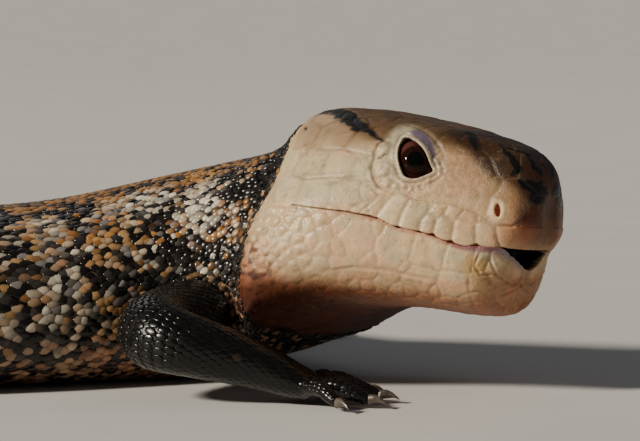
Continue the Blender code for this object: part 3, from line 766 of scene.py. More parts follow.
def head_places(body):
    """Distances of the head's rings, so that they lie evenly on its surface and closer on the blunt snout."""
    fine = np.linspace(body.along[1] + 0.02, HEAD_MESH_END, 6000)
    steps = np.zeros(len(fine) - 1)
    for t in (0.0, 2.0, 4.0, 6.0, 8.0):
        line = body.local(fine, np.full(len(fine), t))
        steps = np.maximum(steps, np.linalg.norm(np.diff(line, axis=0), axis=1))
    steps = np.where(fine[1:] < 5.0, steps, np.diff(fine))
    run = np.concatenate([[0], np.cumsum(steps)])
    return np.interp(np.arange(0, run[-1], HEAD_STEP), run, fine)


def base_skin(body):
    """The body from snout to tail as one closed tube, fine on the head, inside the coat's depth."""
    head = head_places(body)
    trunk = np.arange(HEAD_MESH_END + 0.6, body.along[-1] - 0.5, BODY_STEP)
    rings = []
    for s in np.concatenate([head, trunk]):
        around = HEAD_AROUND if s < HEAD_MESH_END else HEAD_AROUND // 4
        t = np.arange(around) * 16 / around
        local = body.local(np.full(around, s), t)
        coat = BODY_COAT * smoothstep(*COAT_STARTS, s) * smoothstep(0, 22, body.along[-1] - s)
        coat = coat + 0.30 * smoothstep(3.2, 1.0, s)
        middle = np.array([local[:, 1].mean(), local[:, 2].mean()])
        off = local[:, 1:] - middle
        local[:, 1:] = middle + off * (1 - coat / np.maximum(np.linalg.norm(off, axis=1), 2 * coat + 0.01))[:, None]
        low = smoothstep(-5.0, -11.0, local[:, 2] - SNOUT_LEVEL)
        along = local[:, 0] + 2.9 * low * smoothstep(11, 1, s) + 0.12 * smoothstep(3, 1, s)
        ring = body.spine.world(along, local[:, 1], local[:, 2])
        ring[:, 2] = np.maximum(ring[:, 2], coat * (s > 30))
        rings.append(ring)
    forward = np.append(-np.array([-math.cos(body.spine.angle[0]), math.sin(body.spine.angle[0])]), 0)
    first, middle = rings[0], rings[0].mean(0)
    shares = np.linspace(0.12, 0.88, 6)
    front = [middle + (first - middle) * share + forward * 0.04 * (1 - share**2) for share in shares]
    return recalc(tube_object("skin", front + rings, tip=middle + forward * 0.04))


def bulge_eyes(obj, eyes):
    """Raise the surface over each eyeball to the thickness of the lids."""
    points = get_points(obj)
    for eye in eyes:
        a, b, depth = eye.plane(points)
        off = points - eye.centre
        distance = np.linalg.norm(off, axis=1)
        target = EYE_RADIUS + LID_THICKNESS
        near = (distance < 9) & (depth > 0.2)
        gap = distance[near] - target
        raised = target + 0.5 * (gap + np.sqrt(gap**2 + 0.5))
        share = 1 - smoothstep(4.6, 6.6, np.hypot(a[near], b[near]))
        moved = distance[near] + (raised - distance[near]) * share
        points[near] = eye.centre + off[near] * (moved / distance[near])[:, None]
    set_points(obj, points)


def upper_lip(s):
    """Height of the upper lip's edge, notched between its shields."""
    level = np.interp(s, *zip(*UPPER_LIP))
    for notch in LIP_NOTCHES:
        level = level + 0.22 * np.exp(-((s - notch) / 0.4) ** 2)
    return level


def lower_lip(s):
    return np.interp(s, *zip(*UPPER_LIP)) - LIP_GAP


def lip_strip(body, side, start, end, step):
    """A thin wedge along the closed lips, which leaves a groove between them."""
    rings = []
    for s in np.arange(start, end, step):
        fade = 0.06 + 0.94 * float(smoothstep(end, end - 15, s))
        upper, lower = float(upper_lip(s)), float(lower_lip(s))
        middle = (upper + lower) / 2
        top, low = middle + (upper - middle) * fade, middle + (lower - middle) * fade
        width = lip_width(body, s, middle)
        deep = width - 0.22 - 1.08 * fade
        flare = 0.8 + 0.2 * float(smoothstep(24, 14, s))
        corners = (
            (deep, middle - 0.03), (width - 0.5, low), (width + 1.4, low - 0.22 * fade * flare),
            (width + 1.4, top + 0.16 * fade * flare), (width - 0.5, top + 0.04 * fade), (deep, middle + 0.03),
        )
        rings.append(head_world(body.spine, [(s, out * side, up) for out, up in corners]))
    return recalc(tube_object("lip_tool", rings))


def lip_width(body, s, level):
    """Half width of the head at a distance and a height."""
    t = np.linspace(2.5, 7.5, 120)
    local = body.local(np.full(120, s), t)
    return np.interp(-level, -(local[:, 2] - SNOUT_LEVEL), local[:, 1])


def gape_tool(body):
    """The parted front of the mouth, a wedge that closes to both sides."""
    table = np.array(GAPE)
    angles = np.arange(40) * 2 * math.pi / 40
    rings = []
    for out in np.arange(*GAPE_SPAN, 0.15):
        floor, roof, back = (np.interp(out, table[:, 0], table[:, k]) for k in (1, 2, 3))
        middle, half = (roof + floor) / 2, (roof - floor) / 2
        s = -2.0 + (back + 2.0) * (0.5 - 0.5 * np.sign(np.cos(angles)) * np.abs(np.cos(angles)) ** 0.4)
        up = middle + half * np.sign(np.sin(angles)) * np.abs(np.sin(angles)) ** 0.5
        rings.append(head_world(body.spine, np.stack([s, np.full(40, out), up], 1)))
    return recalc(tube_object("gape_tool", rings))


def front_lip_tool(body):
    """A thin wedge round the left front of the snout, which parts the closed lips there."""
    rings = []
    for turn in np.radians(np.arange(-90, -52, 2.5)):
        way = np.array([-math.cos(turn), math.sin(turn)])
        t = np.linspace(0, 12, 120)
        places = np.array([6.5, 0.0]) + t[:, None] * way
        back = places[:, 0] - 2.4 * smoothstep(11, 1, places[:, 0])
        inside = np.array([abs(o) < lip_width(body, max(s, 0.95), -9.0) for s, o in zip(back, places[:, 1])]) & (back > 0.9)
        edge = t[np.flatnonzero(inside)[-1]]
        middle = -9.2 + 0.5 * float(smoothstep(4.5, 8.5, abs(edge * way[1])))
        corners = (
            (edge - 1.3, -0.03), (edge - 0.3, -0.06), (edge + 1.8, -0.2), (edge + 1.8, 0.2), (edge - 0.3, 0.06), (edge - 1.3, 0.03),
        )
        rings.append(head_world(body.spine, [(6.5 + r * way[0], r * way[1], middle + up) for r, up in corners]))
    return recalc(tube_object("front_lip_tool", rings))


def open_nostril(obj, spine, side):
    centre = head_world(spine, [np.array(NOSTRIL_AT) * (1, side, 1)])[0]
    axes = (
        head_direction(spine, (0.86, 0.5, -0.12), side), head_direction(spine, (-0.5, 0.86, 0.1), side),
        head_direction(spine, (0.16, -0.02, 1), side),
    )
    apply_boolean(obj, ball("nostril_tool", centre, (0.72, 0.95, 1.3), axes, 28), "DIFFERENCE")


def open_ear(obj, spine, side):
    centre = head_world(spine, [np.array(EAR_AT) * (1, side, 1)])[0]
    axes = (
        head_direction(spine, (0.6, -0.8, 0.0), side), head_direction(spine, (0.8, 0.6, 0.0), side),
        head_direction(spine, (0.1, 0.0, 1), side),
    )
    apply_boolean(obj, ball("ear_tool", centre, (1.1, 2.4, 2.3), axes, 32), "DIFFERENCE")


def limb_skin(limb):
    """One limb with its digits as a closed mesh."""
    places = limb.places(0.6, limb.last - 0.3, LIMB_STEP)
    joined = recalc(tube_object(limb.name + "_tube", [limb.ring(u, LIMB_AROUND, LIMB_COAT) for u in places]))
    for turn, seat, length, half in DIGITS[limb.kind]:
        path, way = digit_path(limb, turn, seat, length)
        rings = digit_rings(path, way, half, DIGIT_AROUND, 30, LIMB_COAT * 0.6)
        last = rings[-1]
        middle = last.mean(0)
        rings.append(middle + (last - middle) * 0.82 + way * 0.2)
        apply_boolean(joined, recalc(tube_object(limb.name + "_digit_tube", rings)), "UNION")
    return joined


def soften_joins(obj, body, limbs):
    """Fillet the creases where limbs leave the body and digits leave the palm."""
    points = get_points(obj)
    edges = get_edges(obj)
    weight = np.zeros(len(points))
    local = body.spine.local(points)
    _, over = body.polar(local)
    for limb in limbs:
        root = emergence(limb, body)
        far = np.linalg.norm(points - root, axis=1)
        close = (1 - smoothstep(10, 15, far)) * (1 - smoothstep(1.8, 4.0, np.abs(over)))
        weight = np.maximum(weight, close)
        palm = limb.at(limb.last - 0.7)[0]
        far = np.linalg.norm(points - palm, axis=1)
        weight = np.maximum(weight, (1 - smoothstep(4.5, 6.5, far)) * 0.6)
    set_points(obj, relax(points, edges, weight, 16))


def emergence(limb, body):
    """The place where a limb's middle line leaves the body."""
    places = np.linspace(0, limb.last, 120)
    points = np.array([limb.at(u)[0] for u in places])
    _, over = body.polar(body.spine.local(points))
    first = int(np.argmax(over > 0))
    return points[first]


# Shields of one side of the head: distance, height, reach in millimetres, and how deep their seams are;
# on the roof the second number is how far out
SIDE_SHIELDS = (
    (4.2, -2.4, 2.6, 1.0), (1.3, -5.4, 2.0, 1.0), (7.9, 0.6, 0.9, 0.6), (7.9, -1.6, 0.8, 0.6),
    (9.8, -0.4, 1.2, 0.5), (12.6, 0.8, 1.5, 0.4), (10.6, 3.6, 2.0, 0.5), (14.9, 2.4, 0.8, 0.4), (14.6, 5.6, 1.0, 0.5),
    (27.9, 3.6, 0.9, 0.4), (29.2, 7.4, 1.6, 0.4), (35.0, 8.7, 2.4, 0.4), (42.0, 8.4, 1.8, 0.4),
    (31.4, 3.8, 2.4, 0.4), (37.0, 3.8, 2.6, 0.4), (43.4, 3.6, 1.8, 0.4), (29.0, -0.9, 1.8, 0.4), (34.0, -1.0, 2.4, 0.4),
    (39.6, -0.9, 2.2, 0.4),
    (3.2, -13.9, 1.5, 1.1), (5.2, -12.9, 1.5, 1.2), (7.4, -11.7, 0.9, 1.3), (10.7, -11.3, 1.9, 1.0), (15.1, -10.4, 2.3, 0.9),
    (20.2, -9.5, 2.4, 0.8), (25.6, -8.4, 1.9, 0.7), (7.6, -14.6, 1.3, 1.1), (4.6, -17.0, 1.8, 1), (11.6, -15.0, 1.8, 0.9),
    (16.2, -14.2, 1.7, 0.9),
)
ROOF_SHIELDS = (
    (2.6, 2.6, 1.3, 1.2), (6.8, 0.0, 2.2, 1), (9.6, 4.2, 2.2, 1), (6.2, 6.4, 1.0, 1), (15.6, 0.0, 3.2, 1), (13.2, 7.6, 1.4, 1),
    (15.8, 8.4, 1.4, 0.9), (18.6, 8.4, 1.8, 0.9), (21.8, 8.2, 1.8, 0.9), (24.8, 8.6, 1.6, 0.9), (23.0, 2.6, 2.2, 0.9),
    (29.0, 0.0, 2.2, 0.8), (32.6, 6.0, 3.2, 0.7), (28.4, 9.8, 1.4, 0.7), (38.8, 4.0, 2.6, 0.8), (44.0, 3.2, 1.4, 0.9),
    (39.6, 10.4, 1.8, 0.7), (44.2, 9.2, 1.0, 0.9), (35.4, 0.0, 1.4, 0.8),
)

# Seams between the upper lip's shields, from their top to the lip, and the line along their tops
LABIAL_SEAMS = (
    ((14.2, -4.4), (14.6, -7.2)), ((11.5, -4.6), (11.8, -8.3)), ((8.4, -5.0), (8.2, -8.5)), ((5.4, -5.1), (5.2, -8.6)),
    ((16.5, -4.8), (15.6, -3.6), (14.1, -4.3), (13.3, -3.8), (11.5, -4.6), (11.0, -4.1), (8.4, -5.0), (7.5, -4.3), (5.4, -5.1),
     (3.2, -5.1)),
    ((15.1, -2.2), (15.8, -3.5)), ((12.9, -2.4), (13.3, -3.8)), ((10.4, -2.7), (11.1, -4.1)), ((8.2, -3.1), (8.2, -5.0)),
    ((18.7, -1.4), (19.4, -3.4), (19.9, -6.2)), ((15.7, -2.0), (15.6, -3.4), (16.5, -4.8), (16.7, -6.7)),
)
LABIAL_TOPS = (
    (23.2, -4.4), (22.9, -3.8), (22.0, -2.1), (21.3, -0.8), (20.2, -0.5), (19.1, -0.9), (17.7, -1.4), (15.8, -1.5), (14.3, -1.7),
    (12.4, -1.8), (10.2, -2.5), (8.4, -3.1), (6.9, -4.1), (5.4, -4.9), (3.3, -5.1),
)

# Spacing of the small scales between the shields, by region
SMALL_SCALES = {"temple": 3.6, "jaw": 2.9, "jowl": 1.45, "throat": 2.0, "nape": 1.7, "snout": 2.6}


def surface_place(body, s, level=None, out=None):
    """The surface point at a distance and a height on the right side, or at an offset on the roof."""
    if level is not None:
        t = np.linspace(1.5, 7.9, 260)
        local = body.local(np.full(260, s), t)
        return local[np.abs(local[:, 2] - SNOUT_LEVEL - level).argmin()]
    t = np.linspace(0, 3.4, 200)
    local = body.local(np.full(200, s), t)
    return local[np.abs(local[:, 1] - out).argmin()]


def shield_centres(body):
    """Centres of all shields and small scales of the head, with their reach and the depth of their seams."""
    named = []
    for s, level, reach, deep in SIDE_SHIELDS:
        named.append((*surface_place(body, s, level=level), reach, deep))
    for s, out, reach, deep in ROOF_SHIELDS:
        named.append((*surface_place(body, s, out=out), reach, deep))
    named = np.array(named)
    places = []
    for s in np.arange(2.0, 60, 0.55):
        t = np.linspace(0.0, 8.0, 200)
        ring = body.local(np.full(200, s), t)
        run = np.concatenate([[0], np.cumsum(np.linalg.norm(np.diff(ring[:, 1:], axis=0), axis=1))])
        for distance in np.arange(0, run[-1], 0.55):
            places.append([np.interp(distance, run, ring[:, k]) for k in range(3)])
    places = np.array(places)
    places = places[np.argsort(hashed(np.stack([np.arange(len(places))] * 3, 1), 77))]
    s, up = places[:, 0], places[:, 2] - SNOUT_LEVEL
    size = np.where(up > -3.2, SMALL_SCALES["temple"], SMALL_SCALES["jaw"])
    size = np.where((up < -3.2) & (s > 26), np.interp(s, (26, 37), (SMALL_SCALES["jaw"], SMALL_SCALES["jowl"])), size)
    size = np.where(s < 22, np.minimum(size, SMALL_SCALES["snout"]), size)
    size = np.where(s > 45, SMALL_SCALES["nape"], size)
    size = np.where(up < -15.5, SMALL_SCALES["throat"], size)
    free = (up < upper_lip(s) - 4.0) | (s > 22)
    gap = np.linalg.norm(places[:, None] - named[None, :, :3], axis=2) - named[None, :, 3]
    free &= gap.min(1) > size * 0.5
    small = np.zeros((0, 5))
    for place, width in zip(places[free], size[free]):
        if not len(small) or np.min(np.linalg.norm(small[:, :3] - place, axis=1)) > width:
            small = np.concatenate([small, [[*place, 0.0, 0.75]]])
    right = np.concatenate([named, small])
    left = right[right[:, 1] > 0.4] * (1, -1, 1, 1, 1)
    return np.concatenate([right, left])


def shield_seams(centres, local):
    """Distance of each point from the nearest seam between shields, and the index of its shield."""
    seam = np.empty(len(local))
    owner = np.empty(len(local), int)
    order = np.argsort(local[:, 0])
    for start in range(0, len(local), 6000):
        rows = order[start:start + 6000]
        part = local[rows]
        close = (centres[:, 0] > part[:, 0].min() - 9) & (centres[:, 0] < part[:, 0].max() + 9)
        index = np.flatnonzero(close)
        warp = np.stack([noise(part, 2.6, seed) for seed in (21, 22, 23)], 1) - 0.5
        near = centres[index]
        gap = np.linalg.norm((part + warp * 0.4)[:, None] - near[None, :, :3], axis=2) - near[None, :, 3]
        pick = np.argpartition(gap, 1, axis=1)[:, :2]
        pair = np.take_along_axis(gap, pick, axis=1)
        swap = pair[:, 0] > pair[:, 1]
        pick[swap] = pick[swap][:, ::-1]
        seam[rows] = np.abs(pair[:, 1] - pair[:, 0]) / 2
        owner[rows] = index[pick[:, 0]]
    side = np.abs(local[:, 1])
    s, up = local[:, 0], local[:, 2] - SNOUT_LEVEL
    tops = line_distance(s, up, LABIAL_TOPS)
    row = np.min([line_distance(s, up, ends) for ends in LABIAL_SEAMS], axis=0)
    border = np.interp(s, *zip(*LABIAL_TOPS[::-1]))
    labial = (up < border) & (up > upper_lip(s) - 0.2) & (s < 23.2) & (side > 1.0)
    seam = np.where(labial, np.minimum(row, tops), np.minimum(seam, np.where((s < 24.2) & (s > 2.8), tops, 9)))
    plate = np.searchsorted((5.2, 8.2, 11.8, 14.6, 16.8, 19.5), s) + 6 * (up > -4.4)
    owner = np.where(labial, len(centres) + plate % 12, owner)
    return seam, owner, labial


def line_distance(a, b, corners):
    """Distance of places in a plane from an open line."""
    places = np.stack([a, b], 1)
    best = np.full(len(places), 1e9)
    for p, q in zip(np.array(corners, float), np.array(corners[1:], float)):
        line = q - p
        share = np.clip(((places - p) @ line) / (line @ line), 0, 1)
        best = np.minimum(best, np.linalg.norm(places - p - share[:, None] * line, axis=1))
    return best


def polyline_distance(points, corners):
    """Distance of each point from a line through corners, and how far along it the nearest place is."""
    corners = np.asarray(corners, float)
    best = np.full(len(points), 1e9)
    share_at = np.zeros(len(points))
    for k, (p, q) in enumerate(zip(corners, corners[1:])):
        line = q - p
        share = np.clip(((points - p) @ line) / max(line @ line, 1e-9), 0, 1)
        gap = np.linalg.norm(points - p - share[:, None] * line, axis=1)
        closer = gap < best
        best = np.where(closer, gap, best)
        share_at = np.where(closer, k + share, share_at)
    return best, share_at / max(len(corners) - 1, 1)


def mark_share(world, spine, plain, ragged):
    """How black each point of the head is."""
    black = np.zeros(len(world))
    for mark in BLACK_MARKS:
        places = np.array([place for place, _ in mark])
        halves = np.array([half for _, half in mark])
        fine = np.linspace(0, len(mark) - 1, len(mark) * 5)
        for side in (1, -1):
            corners = head_world(spine, places * (1, side, 1))
            line = np.stack([np.interp(fine, np.arange(len(mark)), corners[:, k]) for k in range(3)], 1)
            line, _ = plain.find(line)
            low, high = line.min(0) - 3, line.max(0) + 3
            near = np.flatnonzero(((world > low) & (world < high)).all(1))
            gap, share = polyline_distance(world[near], line)
            half = np.interp(share * (len(mark) - 1), np.arange(len(mark)), halves)
            edge = half * (1 + (ragged[near] - 0.5) * 1.1)
            black[near] = np.maximum(black[near], 1 - smoothstep(-0.14, 0.16, gap - edge))
    return black


# Black marks of one side: places on the head, each with the mark's half width there
BLACK_MARKS = (
    (((23.8, 14.1, 7.5), 0.30), ((25.1, 14.3, 7.9), 0.26), ((26.7, 14.3, 8.4), 0.22), ((28.4, 13.8, 9.4), 0.5),
     ((30.1, 13.3, 10.1), 0.8), ((32.0, 12.9, 10.6), 1.15), ((34.3, 11.7, 11.5), 1.5), ((36.6, 10.3, 12.2), 1.6),
     ((39.0, 8.8, 13.0), 1.6), ((41.5, 7.6, 13.0), 1.5), ((45.0, 6.6, 11.0), 1.4), ((49.0, 7.6, 7.8), 1.9)),
    (((25.6, 12.0, 10.5), 0.10), ((24.7, 12.9, 9.4), 0.26), ((24.5, 13.8, 8.2), 0.14)),
    (((24.9, 15.8, 5.2), 0.10), ((24.4, 15.4, 5.7), 0.24), ((23.8, 15.0, 6.0), 0.14)),
    (((23.1, 9.7, 11.2), 0.16), ((22.6, 10.4, 10.8), 0.24), ((22.0, 10.9, 10.3), 0.12)),
    (((43.4, 12.0, 9.6), 0.3), ((42.8, 12.6, 9.5), 0.3)),
    (((17.2, 1.6, 10.4), 0.4), ((14.2, 5.0, 9.9), 0.75), ((13.0, 6.6, 9.3), 0.75), ((12.0, 7.5, 8.5), 0.6), ((11.0, 8.1, 7.4), 0.3)),
    (((8.6, 4.6, 8.2), 0.3), ((7.2, 5.3, 7.4), 0.35), ((5.9, 5.7, 6.5), 0.55), ((4.8, 5.7, 5.6), 0.7), ((4.0, 6.1, 4.4), 0.9),
     ((4.6, 7.0, 3.5), 0.25)),
    (((3.2, 6.2, 2.6), 0.5), ((2.7, 5.6, 1.9), 0.8), ((1.8, 4.4, 1.3), 1.2), ((1.4, 3.0, 1.2), 1.3), ((1.2, 1.6, 0.9), 1.0)),
    (((1.3, 4.4, -0.2), 0.8), ((1.2, 3.4, -0.6), 0.9), ((1.1, 2.2, -0.4), 0.6)),
    (((4.8, 2.2, 6.7), 0.4), ((3.0, 2.8, 5.0), 0.75), ((2.2, 1.8, 3.8), 0.5)),
    (((7.0, 4.4, 7.6), 0.25), ((5.6, 3.2, 7.2), 0.45), ((4.6, 1.2, 6.8), 0.3)),
    (((12.4, 2.6, 9.6), 0.2), ((10.4, 3.2, 9.1), 0.4), ((9.2, 2.0, 8.9), 0.2)),
)

# The line above and inside of which the snout is dark brown, its own brown with painted shade over it: distance, up
SNOUT_EDGE = ((0, -4), (1.6, -3.0), (1.9, -1.3), (2.9, 0.2), (4.6, 1.6), (6.9, 2.8), (9.7, 4.8), (12.1, 6.9), (15.1, 9.1), (19.6, 11.0), (24, 13))


def head_colours(world, local, seam, owner, labial, eyes, depth, black, dark):
    """Colour and gloss of each point of the head."""
    s, up = local[:, 0], local[:, 2] - SNOUT_LEVEL
    out = np.abs(local[:, 1])
    head = np.stack([s, out, up], 1)
    blotch, tone, fine = cloud(local, 6.0, 41), cloud(local, 2.6, 43), cloud(local, 1.2, 42)
    each = hashed(np.stack([owner, owner * 3, owner * 7], 1), 5)
    colour = mix(PALE_FLESH, PINK_FLESH, smoothstep(0.35, 0.75, blotch + 0.25 * (each - 0.5)))
    colour = mix(colour, GREEN_FLESH, smoothstep(0.45, 0.75, tone + 0.35 * (each - 0.5)) * 0.7)
    temple = smoothstep(23, 27, s) * smoothstep(-3.5, -1.5, up) * smoothstep(47, 42, s)
    colour = mix(colour, GREEN_FLESH, temple * smoothstep(7.5, 3.5, up) * 0.75)
    colour = mix(colour, (0.33, 0.225, 0.13), temple * smoothstep(4.5, 8.0, up) * 0.85)
    colour = mix(colour, OLIVE_TAN, temple * smoothstep(0.8, 0.1, seam) * 0.20)
    # The roof is painted dark olive: partly its own olive tan, partly painted shade where the roof faces away from the
    # key light.
    roof = np.clip(smoothstep(6.0, 10.0, up + 1.2 * (blotch - 0.5)) * smoothstep(60, 20, s) * 1.7, 0, 1)
    outside = smoothstep(0.5, 2.5, out - np.interp(s, (24, 32, 41.5, 49), (14.1, 12.9, 7.6, 7.6)))
    roof = roof * (1 - 0.6 * outside)
    colour = mix(colour, np.array(OLIVE_TAN) * (0.55 + 0.9 * tone)[:, None], roof * 0.94)
    snout = smoothstep(17, 12, s) * smoothstep(-9, -5, up)
    colour = mix(colour, NASAL_BROWN, snout * (0.3 + 0.45 * smoothstep(7, 2, s)))
    # The snout's top and front are painted near-black brown: partly their own brown, partly painted shade on the side
    # turned from the light.
    edge = np.interp(s, *zip(*SNOUT_EDGE)) + (blotch - 0.5) * 1.8 - 1.0
    brown = smoothstep(edge - 2.2, edge + 1.8, up) * smoothstep(26, 15, s)
    colour = mix(colour, np.array(SNOUT_BROWN) * (0.5 + 1.4 * tone)[:, None], brown * 0.97)
    colour = mix(colour, (0.24, 0.13, 0.06), smoothstep(edge - 7.0, edge - 1.0, up) * smoothstep(23, 16, s) * (1 - brown) * 0.72)
    # Painted shadow: a dark red patch on the front of the snout, where it turns away from the light.
    front = np.linalg.norm((head - (1.9, 4.6, -4.8)) * (0.8, 0.85, 0.85), axis=1)
    colour = mix(colour, (0.085, 0.006, 0.003), smoothstep(3.6, 1.2, front) * 0.97)
    # The snout tip is painted darker brown: partly its own brown, partly painted shade on the front turned from the
    # light.
    tip = smoothstep(4.6, 2.0, s) * smoothstep(6.5, 2.5, out) * smoothstep(-11.5, -8.6, up)
    colour = mix(colour, (0.10, 0.034, 0.012), tip * 0.7)
    warm = smoothstep(6.5, 3.0, s) * smoothstep(-3.5, -6.0, up) * smoothstep(-9.6, -8.6, up) * smoothstep(1.0, 5.5, out)
    colour = mix(colour, (0.38, 0.14, 0.05), warm * 0.62)
    chin = smoothstep(12, 3.5, s) * smoothstep(-10.5, -15.0, up)
    colour = mix(colour, (0.39, 0.125, 0.036), chin * 0.9)
    colour = mix(colour, (0.52, 0.33, 0.11), smoothstep(2.2, 0.9, np.hypot(s - 8.4, up + 12.0)) * (out > 7) * 0.75)
    # A cream spot on the lower lip: its pale colour with a painted highlight on it.
    cream_lip = smoothstep(1.8, 0.5, np.linalg.norm(head - (6.2, 7.9, -11.4), axis=1))
    colour = mix(colour, (0.76, 0.58, 0.34), cream_lip * 0.75)
    pink_lip = smoothstep(1.7, 0.5, np.linalg.norm(head - (5.2, 2.7, -12.7), axis=1))
    colour = mix(colour, (0.68, 0.42, 0.25), pink_lip * 0.6)
    ragged = up + 2.4 * (blotch - 0.5)
    jowl = smoothstep(35, 47, s) * smoothstep(-9.5, -15.5, ragged) * 0.85
    throat = smoothstep(-14.5, -18.5, ragged) * smoothstep(12, 30, s)
    shaded = smoothstep(37, 46, s) * smoothstep(-3, -9, up) * 0.5 + smoothstep(-10.5, -16.0, ragged) * smoothstep(10, 16, s) * 0.5
    colour = mix(colour, (0.36, 0.20, 0.10), np.clip(shaded, 0, 0.7))
    under = smoothstep(-15.5, -19.0, ragged) * 0.9
    colour = mix(colour, THROAT_RUST, np.clip(jowl + throat + under, 0, 1) * (0.65 + 0.4 * blotch))
    # Painted shade: the underside of the throat turns near-black red brown towards the bottom.
    colour = mix(colour, (0.075, 0.018, 0.008), smoothstep(-14.0, -18.5, ragged) * smoothstep(24, 38, s) * 0.9)
    specks = smoothstep(0.62, 0.70, noise(local * (1, 1, 1.5), 1.0, 51)) * smoothstep(36, 43, s) * smoothstep(-7, -12, up)
    colour = mix(colour, (0.05, 0.014, 0.009), specks * 0.85)
    freckles = smoothstep(0.78, 0.86, noise(local, 0.8, 52))
    colour = mix(colour, (0.15, 0.09, 0.05), freckles * 0.35)
    colour = colour * (0.88 + 0.20 * each + 0.26 * (fine - 0.5))[:, None]
    colour = mix(colour, (0.68, 0.52, 0.31), labial * smoothstep(18.6, 19.8, s) * 0.5)
    line = smoothstep(0.30, 0.0, seam)
    plain_side = (1 - np.clip(roof + brown + temple, 0, 1)) * (1 - np.clip(jowl + throat + under, 0, 1))
    colour = mix(colour, np.array(PINK_FLESH) * 0.66, line * plain_side * (0.05 + 0.40 * blotch))
    colour = mix(colour, (0.11, 0.05, 0.022), line * labial * (0.12 + 0.6 * smoothstep(-4.5, -2.8, up) * blotch))
    colour = mix(colour, np.array(SNOUT_BROWN) * 1.2, line * roof * (1 - brown) * 0.5)
    # Painted highlight: thin pale lines along the shield edges on the dark front of the snout.
    colour = mix(colour, (0.20, 0.13, 0.065), smoothstep(0.12, 0.03, seam) * brown * 0.5 * (s < 8))
    soft = smoothstep(lower_lip(s) + 0.3, lower_lip(s) - 0.1, up) * smoothstep(-0.45, 0.2, up - np.interp(s, *zip(*LIP_EDGE)))
    colour = mix(colour, LIP_PURPLE, soft * smoothstep(14.5, 10.5, s) * smoothstep(4.2, 6.2, s) * 0.9)
    floor = np.interp(local[:, 1], [row[0] for row in GAPE], [row[1] for row in GAPE])
    drop, at_front = floor - up, smoothstep(8.2, 7.0, s) * smoothstep(0.5, 3.0, local[:, 1]) * (out < 8.8)
    colour = mix(colour, (0.36, 0.20, 0.18), smoothstep(0.3, 0.8, drop) * smoothstep(2.1, 1.2, drop) * at_front * 0.5)
    colour = mix(colour, RIM_GREY, smoothstep(-0.15, 0.05, drop) * smoothstep(1.05, 0.6, drop) * at_front * 0.85)
    lip = smoothstep(0.7, 0.1, np.abs(up - lower_lip(s) + 0.1)) * smoothstep(MOUTH_END, 31, s) * smoothstep(4, 6, s)
    colour = mix(colour, LIP_PINK, lip * 0.4 * smoothstep(36, 22, s))
    nose = np.linalg.norm(head - NOSTRIL_AT, axis=1)
    colour = mix(colour, np.array(PALE_FLESH) * 1.05, smoothstep(2.1, 1.0, nose) * 0.6)
    # Painted shade in the carved folds and borders of the head.
    colour = mix(colour, (0.09, 0.048, 0.026), dark)
    cut = smoothstep(0.06, 0.25, depth)
    groove = cut * (up < upper_lip(s) + 0.4) * (up > lower_lip(s) - 0.4) * (s > 4.4) * (s < MOUTH_END + 0.5)
    groove = np.maximum(groove, cut * (s < 7.5) * (up < -8.3) * (up > -10) * (local[:, 1] < -5.2))
    # Inside the lip groove: the lips' pink and flesh colours, darkened as painted shade.
    colour = mix(colour, mix(np.array(LIP_PINK) * 0.6, np.array(PINK_FLESH) * 0.6, smoothstep(20, 30, s)), groove * 0.9)
    colour = mix(colour, NOSTRIL_ORANGE, cut * smoothstep(2.6, 2.0, nose))
    colour = mix(colour, BLACK, black)
    # Painted shade: the inside of the parted mouth is near-black.
    inside = smoothstep(0.25, 0.6, depth) * (s < 10.6) * (up < -8.4) * (up > -13.0) * (local[:, 1] > -5.2) * (out < 8.2)
    colour = mix(colour, MOUTH_SHADE, inside)
    gloss = 0.40 - 0.14 * soft - 0.2 * inside + 0.16 * (fine - 0.5) - 0.03 * brown - 0.10 * groove
    colour, gloss = lid_colours(colour, gloss, eyes, world)
    return np.clip(colour, 0.003, 1), np.clip(gloss, 0.12, 0.8)


def lid_colours(colour, gloss, eyes, world):
    """Pale beaded margins, the bluish patch on the upper lid and the red inner edge."""
    for eye in eyes:
        near, a, b, depth, gap = eye.measure(world)
        distance = np.linalg.norm(world[near] - eye.centre, axis=1)
        some = colour[near]
        rear = smoothstep(0.0, 2.4, a)
        grain = noise(world[near], 0.45, 9)
        some = mix(some, LID_PALE, smoothstep(3.6, 1.6, gap) * (0.25 + 0.40 * rear))
        some = some * (0.78 + 0.36 * grain)[:, None]
        patch = smoothstep(0.3, -0.3, outline_distance(a, b, eye.patch))
        tone = mix(LID_BLUE, (0.22, 0.125, 0.14), smoothstep(1.5, -1.5, b + 3 * (noise(world[near], 0.8, 8) - 0.5)))
        some = mix(some, tone, patch * 0.95)
        beads = 0.70 + 0.5 * noise(np.stack([np.arctan2(b, a) * 5, gap, gap * 0], 1), 0.5, 10)
        some = mix(some, np.array(LID_PALE) * beads[:, None], smoothstep(0.66, 0.5, gap) * 0.7)
        # Painted shade in the fold round the lids.
        crease = np.exp(-((gap - lid_crease(a, b)) / 0.13) ** 2) * smoothstep(3.4, 0.6, b - 1.6 * (a > 0))
        some = mix(some, (0.07, 0.04, 0.022), crease * 0.7)
        wall = (distance < EYE_RADIUS + LID_THICKNESS - 0.18) & (gap < 0.4)
        some = mix(some, EYE_RIM_RED, wall * 1.0)
        pink = smoothstep(1.8, 0.6, np.hypot(a - 1.7, b - 2.7)) * wall
        some = mix(some, (0.14, 0.035, 0.03), pink * 0.6)
        colour[near] = some
        gloss[near] = gloss[near] - 0.05 * (gap < 2) - wall * 0.2
    return colour, gloss


def lid_crease(a, b):
    """Distance from the opening at which the lid meets the first fold: near below, farther above its front."""
    return 0.74 + 1.6 * smoothstep(0.5, 2.5, b) * smoothstep(0.5, -1.0, a)


